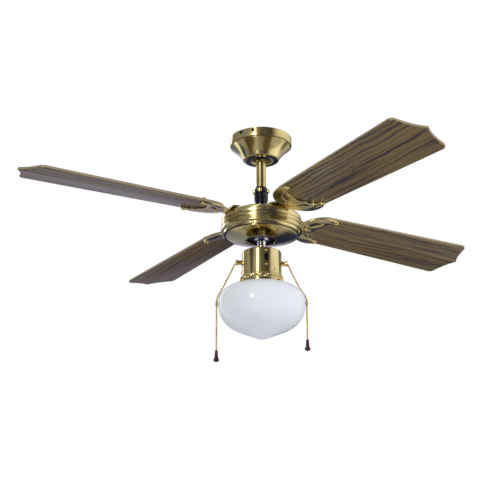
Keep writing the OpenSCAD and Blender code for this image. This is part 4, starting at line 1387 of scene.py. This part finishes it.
@dataclass
class LightKit:
    """The fitter with its twisted band and thumbscrews, the lamp and the opal globe."""

    shop: Workshop
    band_r: float = 43.2
    band_top: float = -131.6
    band_low: float = -145.0
    rope_r: float = 44.2
    strand_r: float = 1.8
    swing: float = 2.7
    rise: float = 0.8
    twists: int = 21
    thumb_turns: tuple[float, ...] = (-35.0, 85.0, 205.0)
    thumb_z: float = -144.5
    globe_r: float = 88.0
    globe_up: float = 40.5
    globe_low: float = 76.0
    body_low: float = 64.5
    oval_power: float = 0.83
    globe_z: float = -185.5
    glass: float = 2.5
    neck_r: float = 38.9
    neck_top: float = -134.0

    def band(self) -> bpy.types.Object:
        """The band: a plain hoop between two lips, with a rope of two strands twisted round it."""
        top, low, r = self.band_top, self.band_low, self.band_r - 1.0
        inner = 42.05
        waist = inner + 0.4
        hoop = [(inner, low), (r, low), (r + 0.7, low + 0.4), (r + 0.7, low + 1.2), (waist, low + 1.7),
                (waist, top - 1.7), (r + 0.7, top - 1.2), (r + 0.7, top - 0.4), (r, top), (inner, top)]
        middle, steps = (top + low) / 2, 16
        count = self.twists * steps
        verts, edges = [], []
        for strand in (0, 1):
            base = len(verts)
            for i in range(count):
                a, phase = TAU * i / count, TAU * i / steps + math.pi * strand
                out = (self.rope_r - self.strand_r - self.rise * (1 - math.cos(phase))) * MM
                up = (middle + self.swing * math.sin(phase)) * MM
                verts.append(at_motor() @ Vector((out * math.cos(a), out * math.sin(a), up)))
                edges.append((base + i, base + (i + 1) % count))
        mesh = bpy.data.meshes.new("strands")
        mesh.from_pydata(verts, edges, [])
        finish = self.shop.finishes.made[Slot.POLISHED_BRASS]
        strands = run_tree("strands", mesh, self.shop.rope,
                           {"Strand radius": self.strand_r * MM, "Sides": 8, "Finish": finish})
        band = joined("twisted_band", [lathe_mesh(hoop, 160, at_motor()), strands.data])
        bpy.data.objects.remove(strands)
        return band

    def globe_outline(self) -> list[Point]:
        """The globe's wall: neck with a bead, full shoulders, conical underside and a small nose."""
        r, t = self.globe_r, self.glass
        neck_in, low = self.neck_r - t, self.globe_z - self.globe_low
        neck = [(neck_in + 0.6, self.neck_top), (self.neck_r + 1.4, self.neck_top),
                (self.neck_r + 2.0, self.neck_top - 0.6), (self.neck_r + 2.0, self.neck_top - 2.2),
                (self.neck_r + 1.2, self.neck_top - 3.0), (self.neck_r, self.neck_top - 3.6)]
        upper = self.oval(r, self.globe_up, self.oval_turn(self.neck_r / r), 0, 28)
        lower = self.oval(r, self.body_low, -2, -43, 26)
        cone = [(62, low + 24.9), (56, low + 21.6), (50, low + 18.7), (44, low + 16.1), (38, low + 13.7),
                (32, low + 11.3), (26, low + 8.8), (21, low + 6.9)]
        nose = [(17.5, low + 5.5), (14.0, low + 3.9), (11.0, low + 2.6), (8.0, low + 1.5), (5.0, low + 0.7),
                (2.5, low + 0.2), (0.0, low)]
        inside = [(0.0, low + 3.4), (17.0, low + 8.4)]
        inner_low = self.oval(r - t, self.body_low - t, -45, -2, 20)
        inner_up = self.oval(r - t, self.globe_up - t, 0, self.oval_turn(neck_in / (r - t)), 18)
        return neck + upper + lower + cone + nose + inside + inner_low + inner_up

    def oval_turn(self, part: float) -> float:
        """The turn in degrees at which the globe's oval reaches a part of its half width."""
        return math.degrees(math.acos(part ** (1 / self.oval_power)))

    def oval(self, rx: float, rz: float, start: float, end: float, steps: int) -> list[Point]:
        """Points on the globe's squarish oval, whose shoulders are fuller than an ellipse's.

        Args:
            rx: Half width.
            rz: Half height.
            start: First turn in degrees.
            end: Last turn in degrees.
            steps: How many stretches it has.

        Returns:
            The points.
        """
        turns = [math.radians(start + (end - start) * i / steps) for i in range(steps + 1)]
        power = self.oval_power
        return [(rx * math.cos(a) ** power, self.globe_z + math.copysign(rz * abs(math.sin(a)) ** power, a))
                for a in turns]

    def thumbscrew(self, k: int) -> None:
        """One thumbscrew with a knurled head."""
        ridges, turn = 18, math.radians(self.thumb_turns[k])
        tip, head = self.neck_r + 0.3, self.band_r + 0.6
        outline = [(0.0, tip), (1.5, tip), (2.0, tip + 0.6), (2.0, head), (2.6, head), (2.9, head + 0.5),
                   (2.9, head + 4.0), (2.5, head + 4.7), (0.0, head + 4.8)]
        mesh = lathe_mesh(outline, 2 * ridges)
        for vert in mesh.vertices:
            out = math.hypot(vert.co.x, vert.co.y)
            around = math.atan2(vert.co.y, vert.co.x) / TAU * 2 * ridges
            if out > 2.7 * MM and round(around) % 2:
                vert.co.x *= 0.88
                vert.co.y *= 0.88
        mesh.transform(at_motor() @ facing_out(turn, 0, self.thumb_z))
        screw = new_piece(f"knurled_screw_{k + 1}", mesh)
        smooth(screw.data, 20)
        self.shop.fit(screw, Slot.BRASS_SCREWS, f"thumb_{k + 1}", f"thumbscrew_{k + 1}")

    def build(self) -> None:
        """Builds the fitter, the band, the screws and the globe."""
        self.shop.fit(finished_copy("fitter_pan", "fitter_pan_spinning"), Slot.POLISHED_BRASS,
                      "hanging_unit", "fitter_pan")
        self.shop.fit(self.band(), Slot.POLISHED_BRASS, "hanging_unit", "rope_band")
        globe = new_piece("opal_globe", lathe_mesh(self.globe_outline(), 160, at_motor()))
        self.shop.fit(globe, Slot.OPAL_GLASS, "hanging_unit", "glass_globe")
        for k in range(len(self.thumb_turns)):
            self.thumbscrew(k)
        self.shop.keep(Slot.PORCELAIN, "lamp_holder")
        self.shop.keep(Slot.BULB_GLASS, "bulb")


@dataclass
class PullChain:
    """One bead chain that hangs past the globe, with a connector and a turned wooden pendant."""

    shop: Workshop
    side: str
    slope: tuple[Point, ...]
    hang_top: float
    hang_low: float
    connector_z: float
    hang_r: float = 91.5
    cord_d: float = 3.6
    bead_r: float = 1.95
    wire_r: float = 1.2
    pitch: float = 4.0
    step: float = 8.0

    def route(self) -> list[Point]:
        """The chain's line as distances and heights: down a slope beside the globe, then straight down."""
        hang = []
        z = self.hang_top
        while z > self.hang_low + 2:
            hang.append((self.hang_r, z))
            z -= self.step
        return [*self.slope, *hang, (self.hang_r, self.hang_low)]

    def points(self) -> list[Vector]:
        """The chain's line in the row frame."""
        place = at_motor(CHAIN_TURNS[self.side])
        return [place @ Vector((out * MM, 0, z * MM)) for out, z in self.route()]

    def turned(self, name: str, outline: Sequence[Point], z: float) -> bpy.types.Object:
        """A small turned part centred on the chain at a height."""
        place = at_motor(CHAIN_TURNS[self.side]) @ Matrix.Translation((self.hang_r * MM, 0, z * MM))
        return new_piece(name, lathe_mesh(softened(outline, 0.3), 32, place))

    def build(self) -> None:
        line, side, body = self.points(), self.side, f"{self.side}_chain"
        mesh = bpy.data.meshes.new("line")
        mesh.from_pydata(line, [(i, i + 1) for i in range(len(line) - 1)], [])
        chain = run_tree(f"bead_chain_{side}", mesh, self.shop.beads, {
            "Pitch": self.pitch * MM, "Bead radius": self.bead_r * MM, "Wire radius": self.wire_r * MM,
            "Finish": self.shop.finishes.made[Slot.BEAD_CHAIN]})
        self.shop.fit(chain, Slot.BEAD_CHAIN, body, f"chain_{side}")
        bell = [(0.6, -5.0), (2.1, -5.0), (2.5, -4.4), (2.1, -2.6), (2.8, -1.6), (3.0, 0), (2.8, 1.6),
                (2.1, 2.6), (2.5, 4.4), (2.1, 5.0), (0.6, 5.0)]
        connector = self.turned(f"connector_{side}", bell, self.connector_z)
        self.shop.fit(connector, Slot.POLISHED_BRASS, body, f"chain_connector_{side}")
        turning = [(0, 0), (2.3, 0), (2.8, -0.6), (3.0, -1.6), (2.8, -2.3), (3.1, -3.0), (3.3, -8),
                   (3.6, -12), (4.2, -15.4), (5.2, -17.6), (6.1, -18.8), (6.2, -19.6), (5.8, -20.7),
                   (4.6, -21.6), (3.2, -22.6), (1.8, -23.3), (0, -23.5)]
        pendant = self.turned(f"turned_pendant_{side}", turning, self.hang_low)
        self.shop.fit(pendant, Slot.DARK_WOOD, body, f"pendant_{side}")


# ---- the studio ----


@dataclass
class Studio:
    """Camera, pale surroundings and soft light."""

    camera_at: tuple[float, float, float] = (0.0, -2.17344, -0.98067)
    forward: tuple[float, float, float] = (-0.01920, 0.94450, 0.32797)
    lens: float = 83.75
    sensor: float = 36.0
    floor_z: float = -1.9
    blue: Colour = (0.50, 0.75, 2.0)
    brown: Colour = (1.0, 0.92, 0.8)
    violet: Colour = (0.92, 0.86, 1.2)
    warm: Colour = (1.0, 0.99, 0.96)
    warm_from: float = 0.45
    horizon: Point = (-0.12, 0.16)
    underneath: Point = (-0.64, -0.54)

    def camera(self) -> None:
        """Places the camera below the fan, looking up at it."""
        data = bpy.data.cameras.new("camera")
        data.lens, data.sensor_width = self.lens, self.sensor
        data.clip_start, data.clip_end = 0.05, 60
        camera = bpy.data.objects.new("camera", data)
        bpy.context.scene.collection.objects.link(camera)
        camera.location = self.camera_at
        camera.rotation_mode = "QUATERNION"
        camera.rotation_quaternion = Vector(self.forward).to_track_quat("-Z", "Y")
        bpy.context.scene.camera = camera

    def floor(self) -> None:
        """A plain pale floor well below the fan."""
        bm = bmesh.new()
        bmesh.ops.create_grid(bm, x_segments=1, y_segments=1, size=9)
        bm.transform(Matrix.Translation((0, 0, self.floor_z)))
        mesh = bpy.data.meshes.new("floor")
        bm.to_mesh(mesh)
        bm.free()
        floor = new_piece("floor", mesh)
        paint = Moulding("pale floor", (0.74, 0.74, 0.75), (0.71, 0.71, 0.72), roughness=0.7, grain=40)
        floor.data.materials.append(paint.make())
        floor.visible_glossy = False

    def panels(self, tree: bpy.types.NodeTree, around: bpy.types.NodeSocket,
               levels: Sequence[Panel], dim: Colour) -> bpy.types.NodeSocket:
        """Upright panels round the fan as a ramp over the direction.

        Args:
            tree: The world's node tree.
            around: Direction from 0 to 1, with 0.5 towards the camera's side.
            levels: Directions in degrees with the panels' brightness, and a tint for a special one.
            dim: The tint of the dim panels.

        Returns:
            The colour socket.
        """
        ramp = tree.nodes.new("ShaderNodeValToRGB")
        peak = max(stop[1] for stop in levels)
        stops = []
        for a, level, *own in levels:
            warmth = min(level / self.warm_from, 1.0)
            tint = [low + (high - low) * warmth for low, high in zip(dim, self.warm)]
            tint = own[0] if own else tint
            stops.append(((a + 180) / 360, tuple(level / peak * c for c in tint)))
        fill_ramp(ramp.color_ramp, stops)
        tree.links.new(around, ramp.inputs["Fac"])
        gain = tree.nodes.new("ShaderNodeVectorMath")
        gain.operation = "SCALE"
        gain.inputs["Scale"].default_value = peak
        tree.links.new(ramp.outputs["Color"], gain.inputs[0])
        return gain.outputs[0]

    def surroundings(self) -> None:
        """A white room, with bright and dark panels that only reflections see."""
        world = bpy.data.worlds.new("studio")
        bpy.context.scene.world = world
        world.use_nodes = True
        tree = world.node_tree
        tree.nodes.clear()
        new, link = tree.nodes.new, tree.links.new

        def maths(operation: str, *values: object) -> bpy.types.NodeSocket:
            """A Math node of the world's tree."""
            node = new("ShaderNodeMath")
            node.operation = operation
            for socket, value in zip(node.inputs, values):
                if isinstance(value, bpy.types.NodeSocket):
                    link(value, socket)
                else:
                    socket.default_value = value
            return node.outputs[0]

        direction = new("ShaderNodeTexCoord").outputs["Generated"]
        xyz = new("ShaderNodeSeparateXYZ")
        link(direction, xyz.inputs[0])
        x, y, z = xyz.outputs
        angle = maths("ARCTAN2", x, maths("MULTIPLY", y, -1.0))
        around = maths("MULTIPLY_ADD", angle, 1 / TAU, 0.5)
        upper = [(-180, .7, self.violet), (-168, .7, self.violet), (-158, .4), (-150, 1.2), (-143, 3.2),
                 (-139, 3.2), (-133, .9), (-122, .3), (-101, .3), (-81, .42), (-60, .34), (-40, .4),
                 (-30, .5), (-26, 3.8), (-19, 3.8), (-15.5, .3), (0, .16), (20, .12), (36, .08), (44, .16),
                 (51, .5), (62, 1.1), (84, 1.25), (118, 1.15), (135, .85), (148, .4), (163, .14),
                 (172, .5, self.violet), (180, .7, self.violet)]
        lower = [(-180, .04), (-176.5, .05), (-173, .4), (-162, .3), (-146, .2), (-136, .4), (-130, 1.6),
                 (-126, 2.4), (-123, 1.2), (-120, .12), (-112, .1), (-104, .2), (-92, .4), (-74, .24),
                 (-50, .3), (-34, .5), (-29, .6), (-25, 2.6), (-20, 2.6), (-16, .45), (-9, .3), (0, .15),
                 (24, .1), (44, .2), (52, .65), (66, 1.5), (105, 1.7), (120, 1.2), (132, .7), (156, .5),
                 (163, .04), (180, .04)]
        nadir = [(-180, .45), (-169, .45), (-160, .5), (-156, .75), (-140, .6), (-98, .5), (-81, .5),
                 (-54, .45), (-27, .7), (-12, .4), (0, .35), (27, .3), (54, .4), (81, .75), (98, .8),
                 (140, .8), (155, .8), (160, .6), (169, .4), (180, .45)]
        mix = new("ShaderNodeMix")
        mix.data_type = "RGBA"
        height = new("ShaderNodeMapRange")
        height.interpolation_type = "SMOOTHSTEP"
        height.inputs["From Min"].default_value, height.inputs["From Max"].default_value = self.horizon
        link(z, height.inputs["Value"])
        link(height.outputs[0], mix.inputs["Factor"])
        link(self.panels(tree, around, upper, self.brown), mix.inputs[7])
        deep = new("ShaderNodeMix")
        deep.data_type = "RGBA"
        depth = new("ShaderNodeMapRange")
        depth.interpolation_type = "SMOOTHSTEP"
        depth.inputs["From Min"].default_value, depth.inputs["From Max"].default_value = self.underneath
        link(z, depth.inputs["Value"])
        link(depth.outputs[0], deep.inputs["Factor"])
        link(self.panels(tree, around, nadir, self.brown), deep.inputs[6])
        link(self.panels(tree, around, lower, self.blue), deep.inputs[7])
        link(deep.outputs[2], mix.inputs[6])

        sideways = maths("MULTIPLY_ADD", x, 0.05, maths("MULTIPLY_ADD", y, -0.10, 0.93))
        soft = maths("MULTIPLY_ADD", z, 0.14, sideways)
        path = new("ShaderNodeLightPath")
        shown = [(mix.outputs[2], path.outputs["Is Glossy Ray"]), (1.0, path.outputs["Is Camera Ray"])]
        mixed = soft
        for value, factor in shown:
            choice = new("ShaderNodeMix")
            choice.data_type = "RGBA"
            link(factor, choice.inputs["Factor"])
            link(mixed, choice.inputs[6])
            if isinstance(value, float):
                choice.inputs[7].default_value = (value, value, value, 1)
            else:
                link(value, choice.inputs[7])
            mixed = choice.outputs[2]
        background = new("ShaderNodeBackground")
        link(mixed, background.inputs["Color"])
        out = new("ShaderNodeOutputWorld")
        link(background.outputs[0], out.inputs["Surface"])

    def lamp(self, name: str, at: Sequence[float], size: float, watts: float,
             mirrored: bool = False) -> None:
        """A round lamp aimed at the motor, seen in reflections only if mirrored."""
        data = bpy.data.lights.new(name, "AREA")
        data.shape, data.size, data.energy = "DISK", size, watts
        lamp = bpy.data.objects.new(name, data)
        bpy.context.scene.collection.objects.link(lamp)
        lamp.location = at
        lamp.rotation_mode = "QUATERNION"
        lamp.rotation_quaternion = (Vector((0, 0, MOTOR_TOP)) - Vector(at)).to_track_quat("-Z", "Y")
        lamp.visible_glossy, lamp.visible_diffuse = mirrored, not mirrored

    def build(self) -> None:
        """Builds the camera, the floor and the light."""
        self.camera()
        self.floor()
        self.surroundings()
        self.lamp("key", (1.6, -2.0, 0.6), size=1.2, watts=22)
        self.lamp("glint", (-0.89, -1.99, -0.125), size=0.24, watts=20, mirrored=True)
        bpy.context.scene.view_settings.view_transform = "Standard"


def main() -> None:
    """Builds the studio and the fan."""
    Studio().build()
    shop = Workshop()
    left_slope = ((54, -103.4), (57.6, -111), (61.2, -118.5), (64.8, -126), (68.5, -133.5), (72.2, -141),
                  (75.9, -148.5), (79.7, -156), (83.6, -163.5), (87, -170), (89.6, -175.5), (91.2, -181))
    right_slope = ((54, -103.4), (57, -110.5), (60.5, -118), (64, -125.5), (67.5, -133), (71, -140.5),
                   (75, -148), (79.5, -155.5), (84, -162.5), (88.5, -169), (91, -175))
    PullChain(shop, "left", left_slope, hang_top=-187, hang_low=-286, connector_z=-191).build()
    PullChain(shop, "right", right_slope, hang_top=-181, hang_low=-260, connector_z=-184).build()
    for part in (Canopy, Hanger, Motor, Blades, SwitchHousing, LightKit):
        part(shop).build()
        log.info("%s built", part.__name__)


if __name__ == "__main__":
    main()
